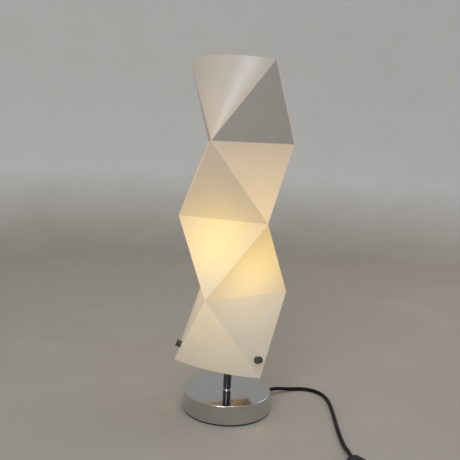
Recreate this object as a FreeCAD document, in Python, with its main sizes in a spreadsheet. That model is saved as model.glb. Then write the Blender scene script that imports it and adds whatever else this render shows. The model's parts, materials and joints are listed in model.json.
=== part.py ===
"""Table lamp with a folded-sheet shade, in millimetres.

+Z is up, the origin is the centre of the underside, and -Y is the front.
Angles round the lamp are counted from the front (-Y) towards +X.
"""
import FreeCAD, Part
import math
import os
import Sketcher
from FreeCAD import Placement, Rotation, Vector

doc = FreeCAD.newDocument("FoldedLamp")

# --- driving dimensions -------------------------------------------------------------

SIZES = [
    ("base_diameter", 125.0, "outside of the drum"),
    ("base_height", 28.8, "top face of the drum above the table"),
    ("base_wall", 1.2, "sheet metal of the drum"),
    ("base_edge_radius", 2.0, "rounded upper edge of the drum"),
    ("pad_inset", 1.0, "dark pad inside the drum's outline"),
    ("pad_thickness", 2.3, "dark pad under the drum"),
    ("weight_gap", 2.3, "ballast disc to the drum's wall"),
    ("weight_thickness", 7.0, "ballast disc"),
    ("tube_diameter", 10.0, "threaded tube"),
    ("tube_bore", 7.5, "threaded tube"),
    ("tube_fit", 0.1, "radial clearance round the threaded tube"),
    ("tube_below_nut", 1.0, "threaded tube past the base nut"),
    ("washer_diameter", 24.0, "washer under the ballast"),
    ("washer_thickness", 1.2, "washer under the ballast"),
    ("nut_flats", 14.0, "across the flats of the tube's nuts"),
    ("nut_height", 4.0, "height of the tube's nuts"),
    ("collar_diameter", 14.0, "collar at the foot of the stem"),
    ("collar_height", 1.6, "collar at the foot of the stem"),
    ("sleeve_diameter", 12.0, "chrome sleeve of the stem"),
    ("hub_diameter", 24.0, "hub of the shade carrier"),
    ("hub_height", 16.0, "hub of the shade carrier"),
    ("arm_diameter", 5.0, "arm of the shade carrier"),
    ("arm_fit", 0.1, "radial clearance round an arm"),
    ("arm_root", 7.6, "distance of an arm's inner end from the stem's axis"),
    ("arm_past_sheet", 4.8, "arm's threaded end past the sheet"),
    ("inner_nut_flats", 8.0, "nut inside the sheet"),
    ("inner_nut_height", 4.0, "nut inside the sheet"),
    ("fixing_washer_diameter", 10.4, "washers on both sides of the sheet"),
    ("fixing_washer_thickness", 1.0, "washers on both sides of the sheet"),
    ("cap_nut_diameter", 9.4, "round chrome nut outside the sheet"),
    ("cap_nut_length", 6.0, "round chrome nut outside the sheet"),
    ("cap_nut_chamfer", 0.8, "edge of the round chrome nut"),
    ("cap_nut_end", 1.2, "closed end of the round chrome nut"),
    ("sheet_thickness", 0.8, "folded sheet"),
    ("waist_radius", 77.9, "corners of the three inner fold rings"),
    ("fold_length", 129.5, "length of every slanted fold"),
    ("top_draw_left", 8.9, "upper rim's left corner inside those of the inner rings"),
    ("top_draw_right", 0.2, "upper rim's right corner inside those of the inner rings"),
    ("top_draw_back", 1.9, "upper rim's back corner inside those of the inner rings"),
    ("bottom_draw", 0.6, "corners of the lower rim inside those of the inner rings"),
    ("shade_lift", 42.4, "lower corners of the shade above the drum"),
    ("fixing_height", 24.0, "fixing hole up its facet from the lower corner"),
    ("corner_margin", 8.0, "how far from a corner the inner skin is closed up"),
    ("holder_lift", 19.0, "underside of the lampholder above the hub nut"),
    ("holder_diameter", 40.0, "lampholder"),
    ("holder_wall", 3.0, "lampholder skirt"),
    ("holder_boss_diameter", 18.0, "boss under the lampholder"),
    ("holder_boss_height", 5.0, "boss under the lampholder"),
    ("holder_cap_height", 17.0, "lower half of the lampholder"),
    ("holder_skirt_height", 40.0, "upper half of the lampholder"),
    ("holder_lip_diameter", 28.0, "mouth of the lampholder"),
    ("holder_lip_height", 3.0, "mouth of the lampholder"),
    ("holder_ledge_diameter", 28.0, "cable space under the insert"),
    ("holder_ledge_depth", 2.0, "insert sunk in the lower half"),
    ("insert_height", 10.0, "insulating insert"),
    ("insert_gap", 0.3, "insert to the lampholder's wall"),
    ("thread_shell_wall", 0.5, "metal thread shell in the lampholder"),
    ("thread_shell_height", 25.0, "metal thread shell in the lampholder"),
    ("contact_height", 3.0, "centre contact above the insert"),
    ("contact_diameter", 6.0, "centre contact"),
    ("terminal_diameter", 4.5, "terminal screw head"),
    ("terminal_height", 2.6, "terminal screw head"),
    ("terminal_spacing", 16.0, "between the two terminal screws"),
    ("bulb_gap", 0.3, "bulb's tip above the centre contact"),
    ("bulb_thread_diameter", 26.0, "outside of the bulb's screw cap"),
    ("bulb_thread_gap", 0.4, "screw cap to the thread shell"),
    ("bulb_thread_depth", 0.9, "depth of the rolled thread"),
    ("bulb_thread_pitch", 3.6, "rolled thread"),
    ("bulb_tip_diameter", 9.0, "tip contact"),
    ("bulb_tip_face", 5.4, "tip contact's lower face"),
    ("bulb_tip_height", 1.8, "tip contact"),
    ("bulb_insulator_height", 4.4, "dark insulator above the tip"),
    ("bulb_cap_height", 20.5, "metal part of the screw cap"),
    ("bulb_diameter", 60.0, "glass globe"),
    ("bulb_height", 108.0, "tip contact to the top of the globe"),
    ("bulb_neck_diameter", 23.0, "glass neck in the screw cap"),
    ("bulb_neck_gap", 0.2, "glass neck to the screw cap"),
    ("bulb_wall", 0.9, "glass"),
    ("cord_diameter", 5.4, "mains cord"),
    ("cord_exit_height", 8.0, "cord's axis where it leaves the drum"),
    ("cord_exit_angle", 126.0, "cord's exit, round from the front"),
    ("relief_length", 20.0, "strain relief outside the drum"),
    ("relief_diameter", 9.5, "strain relief at the drum"),
    ("relief_neck", 8.0, "strain relief in the drum's wall"),
    ("relief_flange", 10.8, "flange of the strain relief"),
    ("relief_flange_thickness", 2.0, "flange of the strain relief"),
    ("relief_inner", 4.0, "strain relief inside the drum"),
    ("relief_tip_wall", 0.8, "strain relief round the cord at its tip"),
    ("lead_diameter", 4.0, "lead inside the lamp"),
    ("lead_height", 6.2, "lead's lowest axis in the drum"),
    ("switch_length", 64.0, "in-line switch"),
    ("switch_width", 27.0, "in-line switch"),
    ("switch_nose_width", 9.6, "narrow ends of the switch"),
    ("switch_shoulder", 13.0, "length of each tapered end"),
    ("switch_lower_height", 8.2, "lower shell of the switch"),
    ("switch_upper_height", 8.6, "upper shell of the switch"),
    ("switch_wall", 2.2, "shells of the switch"),
    ("switch_corner_radius", 3.0, "upright edges of the switch"),
    ("switch_edge_radius", 1.6, "long edges of the switch"),
    ("rocker_width", 10.0, "rocker"),
    ("rocker_length", 21.0, "rocker"),
    ("rocker_gap", 0.4, "rocker to its opening, at the sides"),
    ("rocker_slot_length", 23.1, "opening for the rocker"),
    ("rocker_end_height", 5.5, "rocker's raised ends above its pivot"),
    ("rocker_waist_height", 3.8, "rocker's hollow middle above its pivot"),
    ("rocker_shoulder_height", 1.0, "where the rocker's ends begin, above its pivot"),
    ("rocker_foot_depth", 2.5, "rocker's foot below its pivot"),
    ("rocker_foot_length", 12.6, "rocker's foot"),
    ("rocker_hole_spare", 0.2, "pivot hole past each end of the pin"),
    ("rocker_pivot_drop", 3.6, "rocker's pivot below the switch's top"),
    ("rocker_pin_diameter", 2.6, "rocker's pivot pin"),
    ("rocker_pin_length", 14.4, "rocker's pivot pin"),
    ("rocker_pin_fit", 0.06, "radial clearance round the pivot pin"),
    ("rocker_tilt", 8.0, "rocker's tilt at rest, half its travel"),
    ("switch_screw_offset", 20.0, "switch screws from the middle"),
    ("switch_screw_head", 4.4, "head of a switch screw"),
    ("switch_screw_head_height", 1.6, "head of a switch screw"),
    ("switch_screw_recess", 0.4, "switch screws sunk in the lower shell"),
    ("switch_screw_shank", 2.6, "shank of a switch screw"),
    ("switch_screw_length", 11.0, "switch screw"),
    ("switch_boss", 5.6, "screw bosses in both shells"),
    ("strip_width", 4.0, "brass contact strips in the switch"),
    ("strip_thickness", 0.6, "brass contact strips in the switch"),
    ("strip_length", 6.0, "foot of a contact strip"),
    ("strip_height", 5.4, "standing leg of a contact strip"),
    ("strip_offset", 4.0, "contact strips from the middle"),
    ("overlap", 1.0, "how far joined shapes run into one another"),
    ("coil_radius", 41.4, "first turn of the coil"),
    ("coil_pitch", 5.9, "from turn to turn, sideways and upwards"),
    ("coil_half_turns", 7.0, "half turns in the lower layer"),
    ("coil_reversal", 3.0, "wider step where the coil climbs and turns outwards"),
    ("coil_rise", 1.2, "coil's lower turns above the table"),
    ("tie_thickness", 0.8, "tie round the coil"),
    ("tie_width", 8.0, "tie round the coil"),
    ("tie_gap", 0.4, "tie to the cord"),
    ("plug_width", 35.0, "plug"),
    ("plug_thickness", 13.7, "plug"),
    ("plug_length", 36.0, "plug"),
    ("plug_rear_width", 14.0, "rear end of the plug"),
    ("plug_rear_thickness", 11.0, "rear end of the plug"),
    ("plug_relief_length", 22.0, "strain relief of the plug"),
    ("plug_relief_diameter", 9.0, "strain relief of the plug"),
    ("pin_diameter", 4.0, "plug pin"),
    ("pin_length", 19.0, "plug pin"),
    ("pin_spacing", 18.6, "plug pins"),
    ("soft_gap", 0.05, "cord and plug above the table"),
]

sizes = doc.addObject("Spreadsheet::Sheet", "Sizes")
for row, (alias, value, note) in enumerate(SIZES, start=1):
    sizes.set("A%d" % row, note)
    sizes.set("B%d" % row, str(value))
    sizes.setAlias("B%d" % row, alias)

# --- places that follow from the sizes ----------------------------------------------

places = doc.addObject("Spreadsheet::Sheet", "Places")
place_names = []


def add_place(alias, text):
    """One more stacked place: a formula on the sizes, or a worked-out number."""
    place_names.append(alias)
    cell = "B%d" % len(place_names)
    places.set(cell, text)
    places.setAlias(cell, alias)
    doc.recompute()


add_place("tube_hole_radius", "=Sizes.tube_diameter / 2 + Sizes.tube_fit")
add_place("drum_radius", "=Sizes.base_diameter / 2")
add_place("cover_underside", "=Sizes.base_height - Sizes.base_wall")
add_place("weight_bottom", "=cover_underside - Sizes.weight_thickness")
add_place("washer_bottom", "=weight_bottom - Sizes.washer_thickness")
add_place("base_nut_bottom", "=washer_bottom - Sizes.nut_height")
add_place("tube_bottom", "=base_nut_bottom - Sizes.tube_below_nut")
add_place("collar_top", "=Sizes.base_height + Sizes.collar_height")
add_place("corner_height", "=Sizes.base_height + Sizes.shade_lift")


def size(alias):
    """Number of a driving dimension."""
    return float(sizes.get(alias))


def place(alias):
    """Number of a stacked height."""
    return float(places.get(alias))


# --- helpers ------------------------------------------------------------------------

nodes = []
AXES = {"x": "Placement.Base.x", "y": "Placement.Base.y", "z": "Placement.Base.z"}
LONGER, LOWER = " + 2 * Sizes.overlap", " - Sizes.overlap"


def keep(piece, label):
    """Make an object a sub-part of the lamp, with its own name."""
    piece.Label = label
    nodes.append(piece)
    return piece


def primitive(kind, name, **fields):
    """A Part primitive with its sizes and place bound to expressions."""
    piece = doc.addObject("Part::" + kind, name)
    for field, text in fields.items():
        piece.setExpression(AXES.get(field, field), text)
    return piece


def cut(name, base, *tools):
    """Base solid less one or more tool solids."""
    piece = doc.addObject("Part::Cut", name)
    piece.Base = base
    piece.Tool = tools[0] if len(tools) == 1 else fuse(name + "_tools", *tools)
    return piece


def fuse(name, *parts):
    """Union of solids."""
    piece = doc.addObject("Part::MultiFuse", name)
    piece.Shapes = list(parts)
    return piece


def ring(name, outer, inner, bottom, height):
    """Tube about the lamp's axis: outer and inner radius, lower face, height."""
    body = primitive("Cylinder", name + "_body", Radius=outer, Height=height, z=bottom)
    bore = primitive("Cylinder", name + "_bore", Radius=inner, Height=height + LONGER, z=bottom + LOWER)
    return cut(name + "_ring", body, bore)


def hex_nut(name, flats, inner, bottom, height):
    """Hexagon nut about the lamp's axis."""
    body = primitive("Prism", name + "_body", Circumradius=flats + " / sqrt(3)", Height=height, z=bottom)
    body.Polygon = 6
    bore = primitive("Cylinder", name + "_bore", Radius=inner, Height=height + LONGER, z=bottom + LOWER)
    return cut(name + "_nut", body, bore)


def outline_sketch(body, role, corners):
    """Closed outline of straight lines whose corners are bound to expressions."""
    sketch = body.newObject("Sketcher::SketchObject", body.Name + "_outline")
    plane = [item for item in body.Origin.OriginFeatures if item.Role == role][0]
    sketch.AttachmentSupport = [(plane, "")]
    sketch.MapMode = "FlatFace"
    doc.recompute()
    count = len(corners)
    turn = 2 * math.pi / count
    guess = [Vector(10 + 5 * math.cos(turn * i), 10 + 5 * math.sin(turn * i), 0) for i in range(count)]
    for index in range(count):
        sketch.addGeometry(Part.LineSegment(guess[index], guess[(index + 1) % count]), False)
    for index in range(count):
        sketch.addConstraint(Sketcher.Constraint("Coincident", index, 2, (index + 1) % count, 1))
    for index, corner in enumerate(corners):
        for kind, text in zip(("DistanceX", "DistanceY"), corner):
            number = sketch.addConstraint(Sketcher.Constraint(kind, -1, 1, index, 1, 1.0))
            sketch.setExpression("Constraints[%d]" % number, text)
    return sketch


def turned(name, corners):
    """Solid turned about the lamp's axis from an outline of (radius, height) corners."""
    body = doc.addObject("PartDesign::Body", name)
    sketch = outline_sketch(body, "XZ_Plane", corners)
    solid = body.newObject("PartDesign::Revolution", name + "_turned")
    solid.Profile = sketch
    solid.ReferenceAxis = (sketch, ["V_Axis"])
    solid.Angle = 360.0
    doc.recompute()
    return body


def rounded(body, radius_text, picks):
    """Fillet the edges of a body's last feature that the test picks."""
    base = body.Tip
    names = ["Edge%d" % (i + 1) for i, edge in enumerate(base.Shape.Edges) if picks(edge)]
    fillet = body.newObject("PartDesign::Fillet", body.Name + "_rounded")
    fillet.Base = (base, names)
    fillet.setExpression("Radius", radius_text)
    doc.recompute()
    return body


def code_shape(name, shape, where=None):
    """Sub-part whose shape is worked out in code from the sheet's numbers."""
    piece = doc.addObject("Part::Feature", name)
    piece.Shape = shape
    if where is not None:
        piece.Placement = where
    return keep(piece, name)


# --- base ---------------------------------------------------------------------------

EXIT = math.radians(size("cord_exit_angle"))
EXIT_WAY = Vector(math.sin(EXIT), -math.cos(EXIT), 0)


def along(way, distance, height):
    """Point at a distance from the lamp's axis along a level direction."""
    return Vector(way.x * distance, way.y * distance, height)


def base_pieces():
    """Drum, ballast, pad and the washer and nut that clamp them to the tube."""
    drum = turned("drum", [
        ("Sizes.base_diameter / 2", "Sizes.pad_thickness"),
        ("Sizes.base_diameter / 2", "Sizes.base_height"),
        ("Places.tube_hole_radius", "Sizes.base_height"),
        ("Places.tube_hole_radius", "Places.cover_underside"),
        ("Sizes.base_diameter / 2 - Sizes.base_wall", "Places.cover_underside"),
        ("Sizes.base_diameter / 2 - Sizes.base_wall", "Sizes.pad_thickness")])
    rim, top = size("base_diameter") / 2, size("base_height")
    rounded(drum, "Sizes.base_edge_radius", lambda edge: on_circle(edge, rim, top))
    start = along(EXIT_WAY, rim - 2 * size("base_wall"), size("cord_exit_height"))
    hole = Part.makeCylinder(size("relief_neck") / 2, 3 * size("base_wall"), start, EXIT_WAY)
    exit_hole = doc.addObject("Part::Feature", "exit_hole")
    exit_hole.Shape = hole
    keep(cut("drum_with_exit", drum, exit_hole), "base_cover")
    weight = ring("weight", "Places.drum_radius - Sizes.base_wall - Sizes.weight_gap",
                  "Places.tube_hole_radius", "Places.weight_bottom", "Sizes.weight_thickness")
    keep(weight, "base_weight")
    pad = primitive("Cylinder", "pad", Radius="Places.drum_radius - Sizes.pad_inset",
                    Height="Sizes.pad_thickness")
    keep(pad, "base_pad")
    keep(ring("washer", "Sizes.washer_diameter / 2", "Places.tube_hole_radius",
              "Places.washer_bottom", "Sizes.washer_thickness"), "base_washer")
    keep(hex_nut("base", "Sizes.nut_flats", "Places.tube_hole_radius",
                 "Places.base_nut_bottom", "Sizes.nut_height"), "base_nut")


def on_circle(edge, radius, height):
    """True for a full circle of that radius about the lamp's axis at that height."""
    curve = edge.Curve
    if not isinstance(curve, Part.Circle):
        return False
    return abs(curve.Radius - radius) < 1e-4 and abs(curve.Center.z - height) < 1e-4


# --- shade: where its folds and fixings lie -----------------------------------------

RINGS = 5
CORNERS = 3
SIDES = ("left", "right", "back")


def corner_radius(k, j):
    """Distance of corner j of fold ring k from the lamp's axis."""
    if k == 0:
        return size("waist_radius") - size("top_draw_" + SIDES[j])
    return size("waist_radius") - (size("bottom_draw") if k == RINGS - 1 else 0)


def fold_rise(radius):
    """Height of a slanted fold from an inner ring's corner to one at that radius."""
    waist, fold = size("waist_radius"), size("fold_length")
    return math.sqrt(fold * fold - waist * waist - radius * radius + waist * radius)


def corner_height(k, j):
    """Height of a fold ring's corner: every slanted fold has the same length."""
    inner = min(max(k, 1), RINGS - 2)
    height = place("corner_height") + (RINGS - 2 - inner) * fold_rise(size("waist_radius"))
    if k < RINGS - 1:
        height += fold_rise(corner_radius(RINGS - 1, j))
    return height + (fold_rise(corner_radius(0, j)) if k == 0 else 0)


def corner(k, j):
    """Corner j of fold ring k; neighbouring rings are turned by 60 degrees."""
    angle = math.radians((-90 if k % 2 == 0 else -30) + 360 / CORNERS * j)
    radius = corner_radius(k, j)
    return Vector(radius * math.sin(angle), -radius * math.cos(angle), corner_height(k, j))


def fixing_frame(j):
    """Placement of fixing j: origin on the outer skin, Z square out of the facet."""
    low = corner(4, j)
    crease = (corner(3, (j + 2) % CORNERS) + corner(3, j)) / 2
    up = (crease - low).normalize()
    level = Vector(low.x, low.y, 0).normalize()
    side = Vector(0, 0, 1).cross(level)
    outward = side.cross(up)
    return Placement(low + up * size("fixing_height"), Rotation(side, up, outward, "ZXY"))


FIXINGS = [fixing_frame(j) for j in range(CORNERS)]


def arm_reach():
    """Length of an arm inside the outer skin, down to its root in the hub."""
    where = FIXINGS[0]
    out = where.Rotation.multVec(Vector(0, 0, 1))
    flat = math.hypot(out.x, out.y)
    return (math.hypot(where.Base.x, where.Base.y) - size("arm_root")) / flat


def hub_middle():
    """Height at which the arms leave the hub's wall."""
    where = FIXINGS[0]
    out = where.Rotation.multVec(Vector(0, 0, 1))
    run = math.hypot(where.Base.x, where.Base.y) - size("hub_diameter") / 2
    return where.Base.z - run * out.z / math.hypot(out.x, out.y)


add_place("hub_bottom", str(hub_middle() - size("hub_height") / 2))
add_place("hub_top", "=hub_bottom + Sizes.hub_height")
add_place("holder_bottom", "=hub_top + Sizes.nut_height + Sizes.holder_lift")
add_place("lock_nut_bottom", "=holder_bottom - Sizes.nut_height")
add_place("holder_seam", "=holder_bottom + Sizes.holder_cap_height")
add_place("holder_top", "=holder_seam + Sizes.holder_skirt_height")
add_place("ledge", "=holder_seam - Sizes.holder_ledge_depth")
add_place("insert_top", "=ledge + Sizes.insert_height")
add_place("tube_top", "=holder_bottom + Sizes.holder_boss_height + Sizes.holder_wall")
add_place("tip_bottom", "=insert_top + Sizes.contact_height + Sizes.bulb_gap")
add_place("insulator_bottom", "=tip_bottom + Sizes.bulb_tip_height")
add_place("thread_bottom", "=insulator_bottom + Sizes.bulb_insulator_height")
add_place("thread_top", "=thread_bottom + Sizes.bulb_cap_height")


# --- shade sheet --------------------------------------------------------------------

FAN = 8


def rim_curve(apex, first, last):
    """Free edge of a curved end panel.

    The panel is cut as a flat triangle and rolled into part of a cone whose point is
    the apex. Its half angle seen from the apex is flat_half in the flat sheet and
    open_half in space, so the cone turns by x each way, where sin(x) / x is
    sin(open_half) / flat_half.
    """
    fold = size("fold_length")
    width = size("waist_radius") * math.sqrt(3)
    flat_half = math.asin(width / 2 / fold)
    depth = math.sqrt(fold * fold - width * width / 4)
    one = (first - apex).normalize()
    two = (last - apex).normalize()
    middle = (one + two).normalize()
    side = (two - one).normalize()
    open_half = math.asin((two - one).Length / 2)
    low, high = 1e-3, math.pi
    for _ in range(60):
        turn = (low + high) / 2
        if math.sin(turn) / turn > math.sin(open_half) / flat_half:
            low = turn
        else:
            high = turn
    slope = math.asin(flat_half / turn)
    lean = math.acos(math.cos(slope) / math.cos(open_half))
    out = middle.cross(side)
    if out.dot(Vector(first.x + last.x, first.y + last.y, 0)) < 0:
        out = out * -1
    axis = middle * math.cos(lean) - out * math.sin(lean)
    across = side.cross(axis).normalize()
    if across.dot(out) < 0:
        across = across * -1
    curve = []
    for step in range(FAN + 1):
        angle = turn * (2.0 * step / FAN - 1)
        way = axis * math.cos(slope)
        way = way + (across * math.cos(angle) + side * math.sin(angle)) * math.sin(slope)
        curve.append(apex + way * (depth / math.cos(angle * math.sin(slope))))
    return curve


def sheet_facets():
    """Corner points and outward-ordered facets of the folded sheet's outer skin."""
    points = {(k, j): corner(k, j) for k in range(RINGS) for j in range(CORNERS)}
    facets = []
    for band in range(RINGS - 1):
        even, odd = (band, band + 1) if band % 2 == 0 else (band + 1, band)
        for j in range(CORNERS):
            left, middle = (even, j), (odd, j)
            right, beyond = (even, (j + 1) % CORNERS), (odd, (j + 1) % CORNERS)
            facets.append((middle, right, beyond))
            if even not in (0, RINGS - 1):
                facets.append((left, middle, right))
                continue
            curve = rim_curve(points[middle], points[left], points[right])
            keys = [left] + [(even, j, i) for i in range(1, FAN)] + [right]
            points.update(zip(keys[1:-1], curve[1:-1]))
            facets.extend((middle, one, two) for one, two in zip(keys, keys[1:]))
    return points, [outward_order(points, facet) for facet in facets]


def facet_normal(points, facet):
    """Unit normal of a facet by its corner order."""
    a, b, c = (points[key] for key in facet)
    return (b - a).cross(c - a).normalize()


def outward_order(points, facet):
    """The facet's corners, counter-clockwise seen from outside."""
    middle = (points[facet[0]] + points[facet[1]] + points[facet[2]]) / 3
    if facet_normal(points, facet).dot(Vector(middle.x, middle.y, 0)) < 0:
        return (facet[0], facet[2], facet[1])
    return facet


def plane_meeting(normals, value):
    """Point whose distance along each of three normals is the same value."""
    a, b, c = normals
    volume = a.dot(b.cross(c))
    return (b.cross(c) + c.cross(a) + a.cross(b)) * (value / volume)


def face_of(*corners):
    """Flat face through the corners."""
    return Part.Face(Part.makePolygon(list(corners) + [corners[0]]))


def sheet_solid():
    """The folded sheet as a closed skin of constant thickness.

    The inner skin is every facet moved inwards by the thickness, so a fold's inner
    line lies where the two moved facets meet. Six facets meet at a waist corner and
    share no such point, so the inner skin is closed there by small triangles.
    """
    thick, margin = size("sheet_thickness"), size("corner_margin")
    points, facets = sheet_facets()
    normals = {facet: facet_normal(points, facet) for facet in facets}
    owner = {}
    for facet in facets:
        for index in range(3):
            owner[(facet[index], facet[(index + 1) % 3])] = facet

    def fold_shift(one, two):
        first, second = normals[owner[(one, two)]], normals[owner[(two, one)]]
        return (first + second) * (-thick / (1 + first.dot(second)))

    def rim_point(key):
        around = [facet for facet in facets if key in facet]
        if len(around) == 2:
            apex = [name for name in around[0] if len(name) == 2 and 0 < name[0] < RINGS - 1][0]
            return points[key] + fold_shift(*((apex, key) if (apex, key) in owner else (key, apex)))
        return points[key] + plane_meeting([normals[facet] for facet in around], -thick)

    def on_fold(key, other):
        way = (points[other] - points[key]).normalize()
        return points[key] + way * margin + fold_shift(key, other)

    rise = fold_rise(size("waist_radius"))
    upright = rise / math.hypot(rise, size("waist_radius") / 2)
    skin = [face_of(*(points[key] for key in facet)) for facet in facets]
    for facet in facets:
        inner = []
        for index, key in enumerate(facet):
            if key[0] in (0, RINGS - 1):
                inner.append(rim_point(key))
                continue
            before, after = on_fold(key, facet[index - 1]), on_fold(key, facet[(index + 1) % 3])
            level = Vector(points[key].x, points[key].y, 0).normalize()
            deep = points[key] - level * (1.5 * thick / upright)
            inner.extend((before, after))
            skin.append(face_of(before, deep, after))
        skin.append(face_of(*inner))
    for one, two in owner:
        if (two, one) not in owner:
            inner_one, inner_two = rim_point(one), rim_point(two)
            skin.append(face_of(points[one], points[two], inner_one))
            skin.append(face_of(points[two], inner_two, inner_one))
    shell = Part.makeShell(skin)
    shell.sewShape()
    solid = Part.makeSolid(shell)
    if solid.Volume < 0:
        solid.reverse()
    print("sheet closed", shell.isClosed(), "volume", round(solid.Volume, 1),
          "area x thickness", round(sum(face.Area for face in skin[:len(facets)]) * thick, 1))
    return solid


def shade():
    """Folded sheet with its three fixing holes."""
    sheet = sheet_solid()
    hole_radius = size("arm_diameter") / 2 + size("arm_fit")
    depth = 4 * size("sheet_thickness")
    for where in FIXINGS:
        hole = Part.makeCylinder(hole_radius, 2 * depth, Vector(0, 0, -depth))
        hole.Placement = where.multiply(hole.Placement)
        sheet = sheet.cut(hole)
    code_shape("shade_sheet", sheet)


# --- stem and shade carrier ---------------------------------------------------------


def stem_pieces():
    """Threaded tube, collar, sleeve and the nuts above the drum."""
    keep(ring("tube", "Sizes.tube_diameter / 2", "Sizes.tube_bore / 2", "Places.tube_bottom",
              "(Places.tube_top - Places.tube_bottom)"), "threaded_tube")
    keep(ring("collar", "Sizes.collar_diameter / 2", "Places.tube_hole_radius", "Sizes.base_height",
              "Sizes.collar_height"), "stem_collar")
    keep(ring("sleeve", "Sizes.sleeve_diameter / 2", "Places.tube_hole_radius", "Places.collar_top",
              "(Places.hub_bottom - Places.collar_top)"), "stem_sleeve")
    keep(hex_nut("hub", "Sizes.nut_flats", "Places.tube_hole_radius", "Places.hub_top",
                 "Sizes.nut_height"), "hub_nut")
    keep(hex_nut("lock", "Sizes.nut_flats", "Places.tube_hole_radius", "Places.lock_nut_bottom",
                 "Sizes.nut_height"), "holder_lock_nut")


def arm_cylinder(name, radius_text, reach, past):
    """Cylinder along one arm's line, from its root to past the outer skin."""
    piece = primitive("Cylinder", name, Radius=radius_text)
    piece.Height = reach + past
    return piece


def carrier_pieces():
    """Hub with three arms that run square to the facets they hold."""
    reach = arm_reach()
    body = primitive("Cylinder", "hub_body", Radius="Sizes.hub_diameter / 2", Height="Sizes.hub_height",
                     z="Places.hub_bottom")
    bore = primitive("Cylinder", "hub_bore", Radius="Places.tube_hole_radius",
                     Height="Sizes.hub_height" + LONGER, z="Places.hub_bottom" + LOWER)
    tools = [bore]
    for name, where in zip(SIDES, FIXINGS):
        root = where.multiply(Placement(Vector(0, 0, -reach), Rotation()))
        arm = arm_cylinder("arm_" + name, "Sizes.arm_diameter / 2", reach, size("arm_past_sheet"))
        arm.Placement = root
        keep(arm, "arm_" + name)
        socket = arm_cylinder("socket_" + name, "Sizes.arm_diameter / 2 + Sizes.arm_fit", reach, 0)
        socket.Placement = root
        tools.append(socket)
    keep(cut("hub_drilled", body, *tools), "carrier_hub")


def at_fixings(name, shape):
    """One node that holds a copy of the shape at each fixing of the shade."""
    copies = []
    for where in FIXINGS:
        copy = shape.copy()
        copy.Placement = where.multiply(copy.Placement)
        copies.append(copy)
    code_shape(name, Part.makeCompound(copies))


def drilled(radius, height, bore, bottom):
    """Round piece with a hole through it, along Z."""
    body = Part.makeCylinder(radius, height, Vector(0, 0, bottom))
    past = size("overlap")
    return body.cut(Part.makeCylinder(bore, height + 2 * past, Vector(0, 0, bottom - past)))


def fixing_pieces():
    """Washers and nuts that clamp the sheet to the arms."""
    bore = size("arm_diameter") / 2 + size("arm_fit")
    washer, thick = size("fixing_washer_diameter") / 2, size("fixing_washer_thickness")
    inside = -size("sheet_thickness")
    at_fixings("outer_washers", drilled(washer, thick, bore, 0))
    at_fixings("inner_washers", drilled(washer, thick, bore, inside - thick))
    nut_height = size("inner_nut_height")
    flats = size("inner_nut_flats") / math.sqrt(3)
    low, past = inside - thick - nut_height, size("overlap")
    corners = [Vector(flats * math.cos(math.pi * i / 3), flats * math.sin(math.pi * i / 3), low)
               for i in range(6)]
    nut = face_of(*corners).extrude(Vector(0, 0, nut_height))
    hole = Part.makeCylinder(bore, nut_height + 2 * past, Vector(0, 0, low - past))
    at_fixings("inner_nuts", nut.cut(hole))
    radius, length = size("cap_nut_diameter") / 2, size("cap_nut_length")
    cap = Part.makeCylinder(radius, length, Vector(0, 0, thick))
    end = [edge for edge in cap.Edges
           if isinstance(edge.Curve, Part.Circle) and abs(edge.Curve.Center.z - thick - length) < 1e-6]
    cap = cap.makeChamfer(size("cap_nut_chamfer"), end)
    cap = cap.cut(Part.makeCylinder(bore, length - size("cap_nut_end"), Vector(0, 0, thick)))
    at_fixings("cap_nuts", cap)


# --- lampholder and bulb ------------------------------------------------------------


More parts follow.
